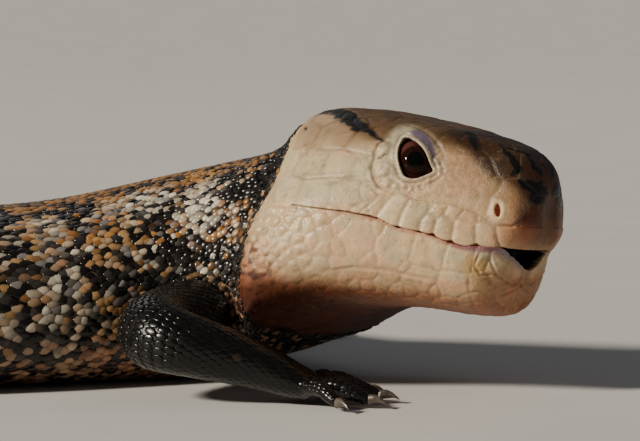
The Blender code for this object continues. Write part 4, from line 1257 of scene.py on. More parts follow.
def displace_head(obj, body, eyes, plain, centres):
    """Seams and domes of the shields, lid folds, nostril rim and fine wrinkles."""
    points = get_points(obj)
    normals = get_normals(obj)
    local = body.spine.local(points)
    near = np.flatnonzero(local[:, 0] < HEAD_MESH_END + 1)
    seam, owner = np.full(len(points), 1.0), np.zeros(len(points), int)
    labial, depth, dark = np.zeros(len(points), bool), np.zeros(len(points)), np.zeros(len(points))
    seam[near], owner[near], labial[near] = shield_seams(centres, local[near])
    found, _ = plain.find(points[near])
    depth[near] = np.linalg.norm(points[near] - found, axis=1)
    outer = smoothstep(0.45, 0.12, depth)
    near_eye = np.full(len(points), 9.0)
    for eye in eyes:
        rows, a, b, _, gap = eye.measure(points)
        near_eye[rows] = gap - 2.4 * smoothstep(0.5, 2.0, a) * smoothstep(-2.4, -0.6, b)
    seam = seam + np.where(labial, 0, 1.5 * smoothstep(2.2, 0.8, near_eye))
    table = np.concatenate([centres, np.tile([0, 0, 0, 1.6, 1.0], (12, 1))])
    reach, deep = table[owner, 3], table[owner, 4]
    s, up = local[:, 0], local[:, 2] - SNOUT_LEVEL
    fade = smoothstep(HEAD_MESH_END, 50, s)
    small = reach < 0.1
    granular = small * smoothstep(28, 35, s) * smoothstep(-3.0, -5.0, up)
    worn = 0.35 + 0.85 * cloud(local, 7.0, 67)
    middle = smoothstep(0.6, 2.8, np.abs(local[:, 1]) + 3.0 * (s > 4.5) + 3.0 * (up > 0))
    groove = -0.12 * deep * worn * np.exp(-(seam / 0.2) ** 2) * (1 - 0.5 * granular) * middle
    swell = np.where(small, 0.15, 0.07 + 0.05 * smoothstep(0.6, 1.6, reach)) * deep * worn
    swell = swell * (1 - np.exp(-seam / 0.5)) * middle
    swell += 0.24 * granular * worn * smoothstep(0, 0.75, seam) * smoothstep(-18, -11, up)
    swell += np.where(labial, 0.15 * (1 - np.exp(-(seam / 0.55) ** 1.5)), 0)
    seam = seam + 2.0 * (1 - middle)
    level = (groove + swell - 0.12) * fade
    level += 0.07 * (cloud(local, 0.9, 61) - 0.5) + 0.18 * (cloud(local, 6, 62) - 0.5) * fade
    level += nasal_shift(local) + pad_shift(local)
    carved, dark[near] = crease_relief(points[near], body.spine, plain)
    level[near] += carved
    for eye in eyes:
        rows, shift = lid_shift(eye, points)
        level[rows] += shift
    level *= outer * (0.30 + 0.70 * smoothstep(1.1, 3.2, s)) * (s < HEAD_MESH_END + 1)
    points = points + normals * level[:, None]
    low, high = np.array(CAD_BOX) / MM
    set_points(obj, np.clip(points, low + 0.04, high - 0.04))
    return seam, owner, labial, local, depth, dark


def nasal_shift(local):
    """The low dome round the nostril, with a raised rim."""
    head = np.stack([local[:, 0], np.abs(local[:, 1]), local[:, 2] - SNOUT_LEVEL], 1)
    dome = np.linalg.norm(head - (4.2, 8.3, -2.4), axis=1)
    rim = np.linalg.norm((head - NOSTRIL_AT) * (1, 1, 0.55), axis=1)
    return 0.36 * smoothstep(3.6, 0.8, dome) + 0.13 * np.exp(-((rim - 0.95) / 0.35) ** 2)


def pad_shift(local):
    """Two swollen scales behind the eye and beads below it."""
    head = np.stack([local[:, 0], np.abs(local[:, 1]), local[:, 2] - SNOUT_LEVEL], 1)
    total = np.zeros(len(local))
    pads = (
        ((24.9, 15.0, 6.7), 0.70, 1.2), ((23.9, 16.3, 3.3), 0.78, 1.6), ((22.6, 16.8, 1.0), 0.38, 0.75), ((21.2, 16.4, 0.6), 0.3, 0.6),
        ((20.0, 15.9, 0.5), 0.26, 0.55), ((18.9, 15.3, 0.5), 0.24, 0.5), ((17.9, 14.8, 0.7), 0.22, 0.5), ((17.0, 14.2, 1.1), 0.2, 0.5),
    )
    for place, height, size in pads:
        total += height * np.exp(-(np.linalg.norm(head - place, axis=1) / size) ** 4)
    return total


# Folds and borders carved into the head: half width, depth, how dark the painted shade in the fold is, then places on
# the head
CREASES = (
    (0.20, 0.36, 0.60, ((24.9, 14.0, 8.2), (26.2, 14.8, 7.5), (26.3, 15.7, 6.2), (25.9, 16.3, 5.0), (25.9, 17.0, 3.5),
                        (25.2, 17.3, 2.0), (23.9, 17.4, 0.4), (22.0, 17.1, -0.3))),
    (0.17, 0.30, 0.85, ((25.6, 16.0, 5.0), (24.7, 15.7, 5.2), (24.4, 15.4, 5.6), (23.7, 15.0, 5.8))),
    (0.15, 0.16, 0.35, ((24.9, 17.2, 1.5), (23.4, 16.9, 2.0), (22.6, 16.3, 2.3))),
    (0.22, 0.14, 0.15, ((30.6, 21.3, -14.0), (26.7, 20.1, -13.3), (21.8, 17.6, -13.4), (18.0, 15.5, -14.1), (14.3, 13.6, -14.6))),
    (0.20, 0.14, 0.30, ((5.4, 9.6, -5.0), (3.3, 7.9, -5.1), (2.4, 6.8, -3.8), (1.9, 5.7, -2.6), (2.3, 5.8, -1.0))),
    (0.20, 0.12, 0.22, ((37.0, 25.0, -3.3), (42.5, 23.4, -3.4), (47.0, 20.5, -7.0), (49.5, 18.5, -11.0))),
    (0.18, 0.14, 0.28, ((27.0, 18.0, 2.3), (29.6, 19.3, 1.8), (33.0, 20.2, 1.6), (36.7, 20.7, 1.1), (41.0, 18.6, 1.3))),
    (0.20, 0.12, 0.25, ((26.9, 16.3, 5.6), (31.6, 16.8, 6.3), (36.7, 16.9, 6.2), (41.2, 15.5, 6.5))),
    (0.18, 0.14, 0.25, ((26.2, 19.6, -4.2), (24.6, 18.6, -2.6), (23.4, 17.9, -1.2), (25.4, 17.9, 0.2))),
    (0.20, 0.17, 0.22, ((6.7, 9.1, -10.3), (6.5, 8.5, -11.6), (6.3, 7.5, -13.1), (6.0, 5.5, -14.0), (5.9, 2.9, -14.9), (5.7, 1.0, -14.4))),
    (0.20, 0.17, 0.22, ((5.7, 1.0, -14.4), (5.3, 0.9, -13.3), (4.9, 1.1, -12.3))),
    (0.20, 0.17, 0.22, ((5.7, 1.0, -14.4), (6.1, -1.5, -15.7), (6.8, -5.1, -16.7))),
    (0.20, 0.17, 0.22, ((7.7, 10.5, -9.6), (8.4, 11.0, -11.8), (7.8, 9.8, -13.5), (6.3, 7.5, -13.1))),
)


def crease_relief(world, spine, plain):
    """Depth of the carved folds, and how dark their painted shade is, at each point of the head, on both sides."""
    level, dark = np.zeros(len(world)), np.zeros(len(world))
    for half, deep, shade_share, places in CREASES:
        places = np.array(places)
        fine = np.linspace(0, len(places) - 1, len(places) * 6)
        for side in (1, -1):
            corners = head_world(spine, places * (1, side, 1))
            line = np.stack([np.interp(fine, np.arange(len(places)), corners[:, k]) for k in range(3)], 1)
            line, _ = plain.find(line)
            near = np.flatnonzero(((world > line.min(0) - 2) & (world < line.max(0) + 2)).all(1))
            gap, share = polyline_distance(world[near], line)
            ends = smoothstep(0, 0.12, share) * smoothstep(1, 0.88, share) * 0.7 + 0.3
            level[near] -= deep * ends * np.exp(-(gap / half) ** 2)
            level[near] += 0.35 * deep * ends * np.exp(-((gap - 2.6 * half) / (1.2 * half)) ** 2)
            # How dark the painted shade in the fold is.
            dark[near] = np.maximum(dark[near], shade_share * ends * np.exp(-(gap / (half * 0.9)) ** 2))
    return level, dark


def lid_shift(eye, points):
    """Raised, beaded lid margins and the folds round them, for the points near the eye."""
    near, a, b, depth, gap = eye.measure(points)
    angle = np.arctan2(b - 0.2, a + 0.9)
    lower = smoothstep(1.8, -0.4, b - 1.4 * (a > 0.4))
    behind = smoothstep(0.8, 2.0, a) * smoothstep(-2.6, -1.2, b)
    beads = 0.5 + 0.5 * np.cos(angle * 34 + 1.5 * np.sin(angle * 5))
    margin = np.exp(-((gap - 0.28) / 0.2) ** 2) * (0.06 + 0.10 * beads)
    at = lid_crease(a, b)
    crease = -0.28 * np.exp(-((gap - at) / 0.12) ** 2) * (0.45 + 0.55 * np.maximum(lower, behind))
    second = np.exp(-((gap - at - 0.45) / 0.3) ** 2) * (0.05 + 0.12 * lower) * (1 - behind)
    granules = noise(points[near], 0.5, 64)
    rough = smoothstep(0.5, 0.9, gap) * smoothstep(3.0, 2.0, gap) * (0.35 + 0.65 * lower) * (1 - behind)
    second += 0.34 * (granules - 0.5) * rough
    outer = -0.14 * np.exp(-((gap - at - 1.0) / 0.18) ** 2) * lower * (a < 1.2)
    brow = -0.20 * np.exp(-((gap - 2.6) / 0.22) ** 2) * smoothstep(0.5, 2.0, b) * (a < 2.5)
    return near, np.where(gap > -0.2, margin + crease + second + outer + brow, 0)


def round_openings(obj, eyes, spine):
    """Ease the sharp edges that the lips, lids, nostrils and ears have after cutting."""
    points = get_points(obj)
    edges = get_edges(obj)
    local = spine.local(points)
    mirrored = np.stack([local[:, 0], np.abs(local[:, 1]), local[:, 2] - SNOUT_LEVEL], 1)
    s, out, up = mirrored.T
    gap = np.maximum(np.maximum(up - upper_lip(s), lower_lip(s) - up), 0)
    weight = smoothstep(0.6, 0.15, gap) * smoothstep(MOUTH_END + 0.8, MOUTH_END - 0.5, s) * (s > 4.3)
    front = (s < 9) & (up > -13.2) & (up < -8.0)
    weight = np.maximum(weight, front * 0.7)
    nose = np.linalg.norm(mirrored - NOSTRIL_AT, axis=1)
    weight = np.maximum(weight, smoothstep(2.3, 1.7, nose) * 0.5)
    ear = np.linalg.norm(mirrored - EAR_AT, axis=1)
    weight = np.maximum(weight, smoothstep(4.6, 3.4, ear))
    for eye in eyes:
        near, _, _, _, band = eye.measure(points)
        weight[near] = np.maximum(weight[near], smoothstep(0.45, 0.12, np.abs(band)) * 0.75)
    set_points(obj, relax(points, edges, weight, 4))


def build_skin(body, limbs, eyes):
    """The whole skin in one mesh, and the plain form of it before anything was cut."""
    skin = base_skin(body)
    bulge_eyes(skin, eyes)
    for limb in limbs:
        apply_boolean(skin, limb_skin(limb), "UNION")
    soften_joins(skin, body, limbs)
    plain = Ground(skin)
    apply_boolean(skin, gape_tool(body), "DIFFERENCE")
    apply_boolean(skin, front_lip_tool(body), "DIFFERENCE")
    for side in (1, -1):
        apply_boolean(skin, lip_strip(body, side, 4.3, MOUTH_END, 0.25), "DIFFERENCE")
    for eye in eyes:
        axes = (eye.rear, eye.up, eye.axis)
        radius = EYE_RADIUS + 0.10
        apply_boolean(skin, ball("socket_tool", eye.centre, (radius,) * 3, axes, 64), "DIFFERENCE")
        apply_boolean(skin, recalc(eye.cutter()), "DIFFERENCE")
        open_nostril(skin, body.spine, eye.side)
        open_ear(skin, body.spine, eye.side)
    round_openings(skin, eyes, body.spine)
    return skin, plain


def body_colours(world, local, angle, each=None):
    """Mottled colour of the neck, trunk and tail, by distance along it and angle from the roof."""
    s = local[:, 0]
    turn = np.degrees(np.abs(angle))
    spot = noise(world, 1.5, 71) if each is None else each
    other, third = (spot * 7.31) % 1, (spot * 23.7) % 1
    patch, speck, tone = cloud(world, 7.0, 72), noise(world, 2.6, 73), cloud(world, 14.0, 74)
    top = smoothstep(42, 26, turn + 10 * (speck - 0.5))
    low = smoothstep(88, 118, turn)
    flank = (1 - top) * (1 - low)
    neck = smoothstep(118, 92, s)
    colour = mix(ORANGE, TAN, smoothstep(0.35, 0.7, tone + 0.3 * (third - 0.5)))
    colour = mix(colour, PINK_BEIGE, smoothstep(0.52, 0.72, other) * flank * 0.9)
    colour = mix(colour, CREAM, smoothstep(0.78, 0.9, other * 0.8 + 0.4 * patch) * flank * 0.8)
    colour = mix(colour, GREY, smoothstep(0.20, 0.10, other) * flank * 0.85)
    colour = mix(colour, (0.23, 0.105, 0.025), top * neck * 0.9)
    colour = mix(colour, mix(RUST, PINK_BEIGE, smoothstep(0.4, 0.8, tone)), low * 0.85)
    wave = s + 20.0 * (tone - 0.5) + 0.035 * (turn - 60)
    bands = (0.5 + 0.5 * np.sin(wave / 22.0 * 2 * math.pi + 0.6)) * smoothstep(104, 135, s)
    dark = 0.40 * patch + 0.30 * speck + 0.62 * (spot - 0.5) + 0.22 * bands
    # Just behind the head the scales turn black: partly dark scales, partly the head's shadow painted on the neck.
    dark = dark - 0.20 * top * neck - 0.04 * low + 0.225 + 0.22 * smoothstep(58, 49, s) * (1 - top)
    weight = np.zeros(len(s))
    blend = np.zeros((len(s), 3))
    edge = (noise(world, 3.0, 76) - 0.5) * 0.9 + (third - 0.5) * 0.9
    for along, degrees, reach, around, name, strength, side in BODY_PATCHES:
        gap = np.hypot((s - along) / reach, (turn - degrees) * 0.42 / around)
        share = strength * smoothstep(1.45, 0.55, gap + edge * 0.6) * (1 if side == 0 else (angle * side > 0))
        if name == "black":
            dark = dark + 0.34 * share
        else:
            dark = dark - 0.24 * share
            share = share * smoothstep(0.10, 0.45, other)
            blend += share[:, None] * np.array(PALETTE[name])
            weight += share
    colour = mix(colour, blend / np.maximum(weight, 1e-6)[:, None], np.clip(weight, 0, 0.85))
    black = smoothstep(0.49, 0.57, dark)
    colour = mix(colour, mix(BLACK, (0.03, 0.025, 0.022), smoothstep(0.6, 0.95, other)), black * 0.98)
    colour = colour * (0.45 + 0.85 * third)[:, None]
    return np.clip(colour, 0.003, 1), black


def limb_colours(world, each=None):
    """Glossy black with a few dark brown scales."""
    spot = noise(world, 1.6, 81) if each is None else each
    fleck = smoothstep(0.74, 0.82, cloud(world, 5.0, 82)) * smoothstep(0.7, 0.9, spot)
    return mix(np.array(BLACK) * 0.6, DARK_BROWN, 0.05 * spot + 0.35 * fleck)

# Soft patches of the neck and trunk: distance, degrees from the roof, reach along and around in millimetres,
# colour, how strong, and the side: 1 right, -1 left, 0 both
BODY_PATCHES = (
    # The black patch at 54 mm is dark scales with the head's shadow painted on them; the cream patch at 63 mm is pale
    # scales with painted highlight.
    (54, 36, 8, 12, "black", 0.8, 0), (52, 66, 5, 6, "pink", 0.5, 0), (63, 54, 7, 8, "cream", 1.1, 0),
    (80, 45, 8, 6, "cream", 0.8, 0), (74.5, 60, 3.2, 3.0, "black", 0.7, 0), (61.5, 73, 3.0, 3.0, "black", 0.8, 0),
    (95, 32, 7, 5, "black", 0.9, 1), (100, 55, 4, 4, "cream", 0.7, 1), (97.5, 90, 6, 5, "cream", 0.8, 1),
    (83, 68, 6, 4.5, "tan", 0.8, 0), (70, 34, 4, 4, "orange", 0.7, 0), (88, 52, 5, 4, "orange", 0.7, 1),
    (112, 40, 5, 10, "black", 0.6, 0), (124, 62, 7, 6, "cream", 0.6, 0), (92, 40, 6, 8, "black", 0.6, -1),
)
PALETTE = {"black": BLACK, "cream": CREAM, "tan": TAN, "orange": ORANGE, "pink": PINK_BEIGE}


def limb_share(body, limbs, world, over):
    """How far each point belongs to a limb rather than to the body."""
    share = np.zeros(len(world))
    for limb in limbs:
        places = np.linspace(0.5, limb.last, 50)
        line = np.array([limb.at(u)[0] for u in places])
        gap = np.full(len(world), 1e9)
        for point in line:
            gap = np.minimum(gap, np.linalg.norm(world - point, axis=1))
        share = np.maximum(share, smoothstep(12.5, 9.0, gap) * smoothstep(-0.2, 1.8, over))
        far = np.linalg.norm(world - limb.at(limb.last - 0.3)[0], axis=1)
        share = np.maximum(share, smoothstep(30, 24, far) * smoothstep(1.0, 3.0, over))
    return share


def colour_skin(obj, body, limbs, eyes, plain, relief):
    """Write colour, gloss and seam of every point of the skin."""
    seam, owner, labial, local, depth, dark = relief
    world = get_points(obj)
    angle, over = body.polar(local)
    ragged = noise(world, 0.8, 95)
    share = smoothstep(45.5, 47.5, local[:, 0] + 3.4 * (cloud(world, 6.0, 91) - 0.5))
    head, rest = np.flatnonzero(share < 1), np.flatnonzero(share > 0)
    colour, gloss = np.zeros((len(world), 3)), np.full(len(world), 0.36)
    black = mark_share(world[head], body.spine, plain, ragged[head])
    colour[head], gloss[head] = head_colours(
        world[head], local[head], seam[head], owner[head], labial[head], eyes, depth[head], black, dark[head],
    )
    trunk, _ = body_colours(world[rest], local[rest], angle[rest])
    # Painted shade: under and between the scales, the skin carries the trunk's markings darkened to 0.22 of their
    # brightness.
    colour[rest] = mix(colour[rest], trunk * 0.22, share[rest])
    limb = limb_share(body, limbs, world, over)
    colour = mix(colour, limb_colours(world), limb)
    gloss = gloss * (1 - limb) + 0.3 * limb
    write_colour(obj.data, "tint", colour)
    write_value(obj.data, "gloss", gloss)
    write_value(obj.data, "seam", np.where(local[:, 0] < 50, smoothstep(0.4, 0.0, seam), 0))


def write_colour(mesh, name, colours):
    attribute = mesh.attributes.new(name, "FLOAT_COLOR", "POINT")
    data = np.concatenate([colours, np.ones((len(colours), 1))], 1)
    attribute.data.foreach_set("color", data.ravel())


def write_value(mesh, name, values):
    attribute = mesh.attributes.new(name, "FLOAT", "POINT")
    attribute.data.foreach_set("value", np.asarray(values, float))


class Scales:
    """Seeds of scales: a place, the way each scale lies, its width and length, and its place on the unwrap."""

    def __init__(self):
        self.places, self.ways, self.widths, self.lengths, self.spots = [], [], [], [], []

    def add(self, places, ways, widths, lengths, spots):
        self.places.append(places)
        self.ways.append(ways)
        self.widths.append(widths)
        self.lengths.append(lengths)
        self.spots.append(spots)

    def arrays(self):
        return [np.concatenate(x) for x in (self.places, self.ways, self.widths, self.lengths, self.spots)]


# Width of the scales by distance along the body
SCALE_WIDTHS = (
    (46, 1.25), (60, 1.4), (80, 1.6), (110, 1.95), (150, 2.25), (210, 2.4), (260, 2.3), (300, 2.15), (360, 1.9),
    (430, 1.5), (490, 1.0), (530, 0.7),
)
ROW_PITCH = 0.84


def body_rows(start, end):
    rows, s = [], start
    while s < end:
        rows.append(s)
        s += np.interp(s, *zip(*SCALE_WIDTHS)) * ROW_PITCH
    return rows


def body_scales(body, start, end):
    """Seeds in alternating rows, counted from the middle of the back down both sides, uneven on the neck."""
    scales = Scales()
    for number, s in enumerate(body_rows(start, end)):
        t = np.linspace(0, 8, 400)
        ring = body.local(np.full(400, s), t)
        run = np.concatenate([[0], np.cumsum(np.linalg.norm(np.diff(ring[:, 1:], axis=0), axis=1))])
        width = float(np.interp(s, *zip(*SCALE_WIDTHS)))
        half_row = (number + int(start)) % 2
        distances = np.arange(0.5 * width if half_row else 0.0, run[-1] + 0.2 * width, width)
        uneven = 0.24 * width * float(smoothstep(170, 100, s)) + 0.06 * width
        for side in (1, -1):
            laid = distances[1:] if side == -1 and not half_row else distances
            if not len(laid):
                continue
            count = len(laid)
            cells = np.stack([np.arange(count), np.full(count, number + int(7 * start)), np.full(count, side + 2)], 1)
            laid = laid + uneven * 2 * (hashed(cells, 31) - 0.5) * (laid > 0.1)
            rows = s + uneven * 2 * (hashed(cells, 32) - 0.5)
            turned = np.interp(laid, run, t) * side % 16
            here = body.world(rows, turned)
            behind = body.world(np.minimum(rows + 0.8, 529), turned)
            ahead = body.world(rows - 0.8, turned)
            spot = np.stack([(rows - start + 1) / (end - start + 2), turned / 16], 1)
            scales.add(here, unit(behind - ahead), np.full(count, width), np.full(count, width * ROW_PITCH), spot)
    return scales


def limb_scales(limb, width):
    """Seeds on the tube of a limb, and wider plates across the top of its digits."""
    scales = Scales()
    places = limb.places(0.8, limb.last - 0.35, width * ROW_PITCH)
    for number, u in enumerate(places):
        wide, high = limb.at(u)[1]
        perimeter = math.pi * (wide + high)
        count = max(8, int(round(perimeter / width)))
        angles = (np.arange(count) + 0.5 * (number % 2)) * 2 * math.pi / count
        centre = limb.at(u)[0]
        along, across, upward = limb.frame(u)
        here = centre + np.outer(np.cos(angles) * wide, across) + np.outer(np.sin(angles) * high, upward)
        here[:, 2] = np.maximum(here[:, 2], 0)
        spot = np.stack([np.full(count, 0.62 * u / limb.last), angles / (2 * math.pi)], 1)
        size = perimeter / count
        scales.add(here, np.tile(along, (count, 1)), np.full(count, size), np.full(count, size * ROW_PITCH), spot)
    angles = np.radians((90, 28, 152, -26, 206, 270))
    shares = np.array((1.55, 0.95, 0.95, 0.9, 0.9, 1.1))
    for digit, (turn, seat, length, half) in enumerate(DIGITS[limb.kind]):
        path, way = digit_path(limb, turn, seat, length)
        steps = int((length + 1.5) / 1.05)
        centres, along, halves = digit_frames(path, way, half, 60)
        for number in range(steps):
            k = int(16 + (58 - 16) * (number + 0.5) / steps)
            across = unit(np.cross(along[k], (0, 0, 1)))
            upward = np.cross(across, along[k])
            here = centres[k] + (np.outer(np.cos(angles), across) + np.outer(np.sin(angles), upward)) * halves[k]
            here[:, 2] = np.maximum(here[:, 2], 0)
            at = 0.66 + 0.32 * (number + 0.5) / steps
            spot = np.stack([np.full(6, at), 0.1 + 0.2 * digit + 0.16 * (angles / (2 * math.pi) - 0.5)], 1)
            scales.add(here, np.tile(along[k], (6, 1)), shares * halves[k], np.full(6, 1.0), spot)
    return scales


class Ground:
    """Nearest point and smooth normal on the skin."""

    def __init__(self, obj):
        mesh = obj.data
        mesh.calc_loop_triangles()
        triangles = np.empty(len(mesh.loop_triangles) * 3, int)
        mesh.loop_triangles.foreach_get("vertices", triangles)
        self.triangles = triangles.reshape(-1, 3)
        self.points = get_points(obj)
        self.normals = get_normals(obj)
        self.tree = BVHTree.FromPolygons(self.points.tolist(), self.triangles.tolist())

    def find(self, places):
        found = np.empty((len(places), 3))
        faces = np.empty(len(places), int)
        for k, place in enumerate(places.tolist()):
            point, _, face, _ = self.tree.find_nearest(place)
            found[k] = point
            faces[k] = face
        corners = self.triangles[faces]
        weights = self.weights(found, corners)
        normals = unit((self.normals[corners] * weights[..., None]).sum(1))
        return found, normals

    def weights(self, points, corners):
        """Shares of a triangle's corners at points on it."""
        a, b, c = (self.points[corners[:, k]] for k in range(3))
        ab, ac, ap = b - a, c - a, points - a
        d00, d01, d11 = (ab * ab).sum(1), (ab * ac).sum(1), (ac * ac).sum(1)
        d20, d21 = (ap * ab).sum(1), (ap * ac).sum(1)
        scale = np.maximum(d00 * d11 - d01 * d01, 1e-12)
        v = np.clip((d11 * d20 - d01 * d21) / scale, 0, 1)
        w = np.clip((d00 * d21 - d01 * d20) / scale, 0, 1)
        return np.stack([np.clip(1 - v - w, 0, 1), v, w], 1)


def scale_outline(sides, shares):
    """The unit shape of a scale: rings of (back, across, share of the way to the edge)."""
    rings = []
    angles = (np.arange(sides) + 0.5) * 2 * math.pi / sides
    for share in shares:
        rings.append(np.stack([np.cos(angles) * share, np.sin(angles) * share, np.full(sides, share)], 1))
    return np.concatenate([[[0, 0, 0]], *rings])


def plate_scales(name, scales, ground, shares, lift, knob, colours, keep_over=1.3):
    """Domed plates laid on the skin: round knobs, or flatter ones that lap over the next, as knob says."""
    places, ways, widths, lengths, spots = scales.arrays()
    found, normals = ground.find(places)
    fits = np.linalg.norm(found - places, axis=1) < keep_over
    places, ways, widths, lengths, spots = (x[fits] for x in (places, ways, widths, lengths, spots))
    found, normals = found[fits], normals[fits]
    ways = unit(ways - normals * (ways * normals).sum(1)[:, None])
    across = np.cross(normals, ways)
    sides = 8
    shape = scale_outline(sides, shares)
    count, per = len(places), len(shape)
    numbers = np.stack([np.arange(count)] * 3, 1)
    spin = (hashed(numbers, 9) - 0.5) * 0.3
    ways, across = ways + across * spin[:, None], across - ways * spin[:, None]
    grown = 0.90 + 0.18 * hashed(numbers, 10)
    round_share = knob(found)
    back = shape[None, :, 0] * (lengths * (1.16 - 0.40 * round_share) * grown)[:, None]
    side = shape[None, :, 1] * (widths * (0.54 - 0.03 * round_share) * grown)[:, None]
    back = back + (0.12 * lengths * (1 - round_share))[:, None]
    flat = found[:, None] + ways[:, None] * back[..., None] + across[:, None] * side[..., None]
    laid, up = ground.find(flat.reshape(-1, 3))
    laid, up = laid.reshape(count, per, 3), up.reshape(count, per, 3)
    up = unit(up + normals[:, None] * 0.6)
    size = (lift * np.clip(widths / 2.4, 0.35, 1.1))[:, None]
    slope = 0.5 + 0.5 * shape[None, :, 0]
    share = shape[None, :, 2]
    lapped = 0.10 + 0.46 * slope + 0.50 * (1 - share**2.6) * (0.55 + 0.45 * slope)
    domed = 0.06 + 0.16 * slope + 0.92 * np.sqrt(np.clip(1.02 - share**2, 0, 1))
    height = size * (lapped * (1 - round_share[:, None]) + domed * round_share[:, None])
    edge = shape[:, 2] > 0.99
    top = laid + up * height[..., None]
    rim = laid[:, edge] - up[:, edge] * (0.10 * size)[..., None]
    vertices = np.concatenate([top, rim], axis=1)
    vertices[..., 2] = np.maximum(vertices[..., 2], 0.015)
    obj = join_plates(name, vertices, shape, sides, len(shares), spots)
    random = hashed(numbers * (1, 5, 11), 12)
    tint, gloss = colours(found, random)
    total = per + sides
    write_colour(obj.data, "tint", np.repeat(tint, total, axis=0))
    write_value(obj.data, "gloss", np.repeat(gloss, total))
    write_value(obj.data, "edge", np.tile(np.concatenate([shape[:, 2], np.full(sides, 1.3)]), count))
    write_value(obj.data, "lot", np.repeat(random, total))
    return obj


def join_plates(name, vertices, shape, sides, rings, spots):
    """One mesh from the plates' points, with each plate as a small patch of the map at its root's place."""
    count, total = vertices.shape[:2]
    faces = [(0, 1 + k, 1 + (k + 1) % sides) for k in range(sides)]
    for ring in range(rings):
        a, b = 1 + ring * sides, 1 + (ring + 1) * sides
        for k in range(sides):
            j = (k + 1) % sides
            faces.append((a + k, b + k, b + j, a + j))
    bottom = 1 + rings * sides
    faces.append(tuple(bottom + k for k in range(sides - 1, -1, -1)))
    lengths = np.array([len(f) for f in faces])
    flat = np.concatenate([np.array(f) for f in faces])
    loops = (flat[None] + np.arange(count)[:, None] * total).ravel()
    starts = np.concatenate([[0], np.cumsum(np.tile(lengths, count))[:-1]])
    mesh = bpy.data.meshes.new(name)
    mesh.vertices.add(count * total)
    mesh.vertices.foreach_set("co", (vertices * MM).ravel())
    mesh.loops.add(len(loops))
    mesh.loops.foreach_set("vertex_index", loops)
    mesh.polygons.add(count * len(faces))
    mesh.polygons.foreach_set("loop_start", starts)
    mesh.update(calc_edges=True)
    mesh.validate()
    patch = np.concatenate([shape[:, :2], shape[-sides:, :2] * 1.06])
    per_vertex = 0.003 * 0.5 * patch[None] / 1.06 + (0.01 + 0.98 * spots)[:, None]
    layer = mesh.uv_layers.new(name="OFBake")
    layer.data.foreach_set("uv", per_vertex.reshape(-1, 2)[loops].ravel())
    mesh.polygons.foreach_set("use_smooth", np.ones(count * len(faces), bool))
    obj = bpy.data.objects.new(name, mesh)
    bpy.context.scene.collection.objects.link(obj)
    return obj


def material(name):
    made = bpy.data.materials.new(name)
    made.use_nodes = True
    tree = made.node_tree
    shader = tree.nodes["Principled BSDF"]
    return made, tree, shader


def node(tree, kind, **values):
    made = tree.nodes.new(kind)
    for key, value in values.items():
        if key in made.inputs:
            made.inputs[key].default_value = value
        else:
            setattr(made, key, value)
    return made


def attribute_node(tree, name):
    return node(tree, "ShaderNodeAttribute", attribute_name=name)


def maths(tree, operation, first, second, clamp=False):
    made = node(tree, "ShaderNodeMath", operation=operation, use_clamp=clamp)
    for index, value in enumerate((first, second)):
        if isinstance(value, (int, float)):
            made.inputs[index].default_value = value
        else:
            tree.links.new(value, made.inputs[index])
    return made.outputs[0]


def shade(tree, colour, factor, low, high):
    """Multiply a colour by a range of greys that a factor picks."""
    span = node(tree, "ShaderNodeMapRange")
    span.inputs["To Min"].default_value = low
    span.inputs["To Max"].default_value = high
    tree.links.new(factor, span.inputs["Value"])
    made = tree.nodes.new("ShaderNodeVectorMath")
    made.operation = "SCALE"
    tree.links.new(colour, made.inputs[0])
    tree.links.new(span.outputs[0], made.inputs["Scale"])
    return made.outputs[0]


def skin_material():
    """Dry smooth skin with fine pores, wrinkles and freckles over the markings."""
    made, tree, shader = material("skin")
    place = tree.nodes.new("ShaderNodeTexCoord").outputs["Object"]
    tint = attribute_node(tree, "tint").outputs["Color"]
    gloss = attribute_node(tree, "gloss").outputs["Fac"]
    fine = node(tree, "ShaderNodeTexNoise", Scale=2100.0, Detail=5.0, Roughness=0.65)
    pores = node(tree, "ShaderNodeTexVoronoi", Scale=3000.0)
    freckles = node(tree, "ShaderNodeTexNoise", Scale=700.0, Detail=3.0)
    for texture in (fine, pores, freckles):
        tree.links.new(place, texture.inputs["Vector"])
    colour = shade(tree, tint, fine.outputs["Fac"], 0.78, 1.22)
    colour = shade(tree, colour, freckles.outputs["Fac"], 0.84, 1.14)
    tree.links.new(colour, shader.inputs["Base Color"])
    rough = maths(tree, "ADD", gloss, maths(tree, "MULTIPLY", maths(tree, "SUBTRACT", fine.outputs["Fac"], 0.5), 0.35))
    tree.links.new(rough, shader.inputs["Roughness"])
    shader.inputs["Specular IOR Level"].default_value = 0.36
    shader.inputs["Subsurface Weight"].default_value = 0.10
    shader.inputs["Subsurface Radius"].default_value = (1.0, 0.35, 0.18)
    shader.inputs["Subsurface Scale"].default_value = 0.0006
    height = maths(tree, "ADD", fine.outputs["Fac"], maths(tree, "MULTIPLY", pores.outputs["Distance"], 0.6))
    bump = node(tree, "ShaderNodeBump", Strength=0.5, Distance=0.00012)
    tree.links.new(height, bump.inputs["Height"])
    tree.links.new(bump.outputs["Normal"], shader.inputs["Normal"])
    return made


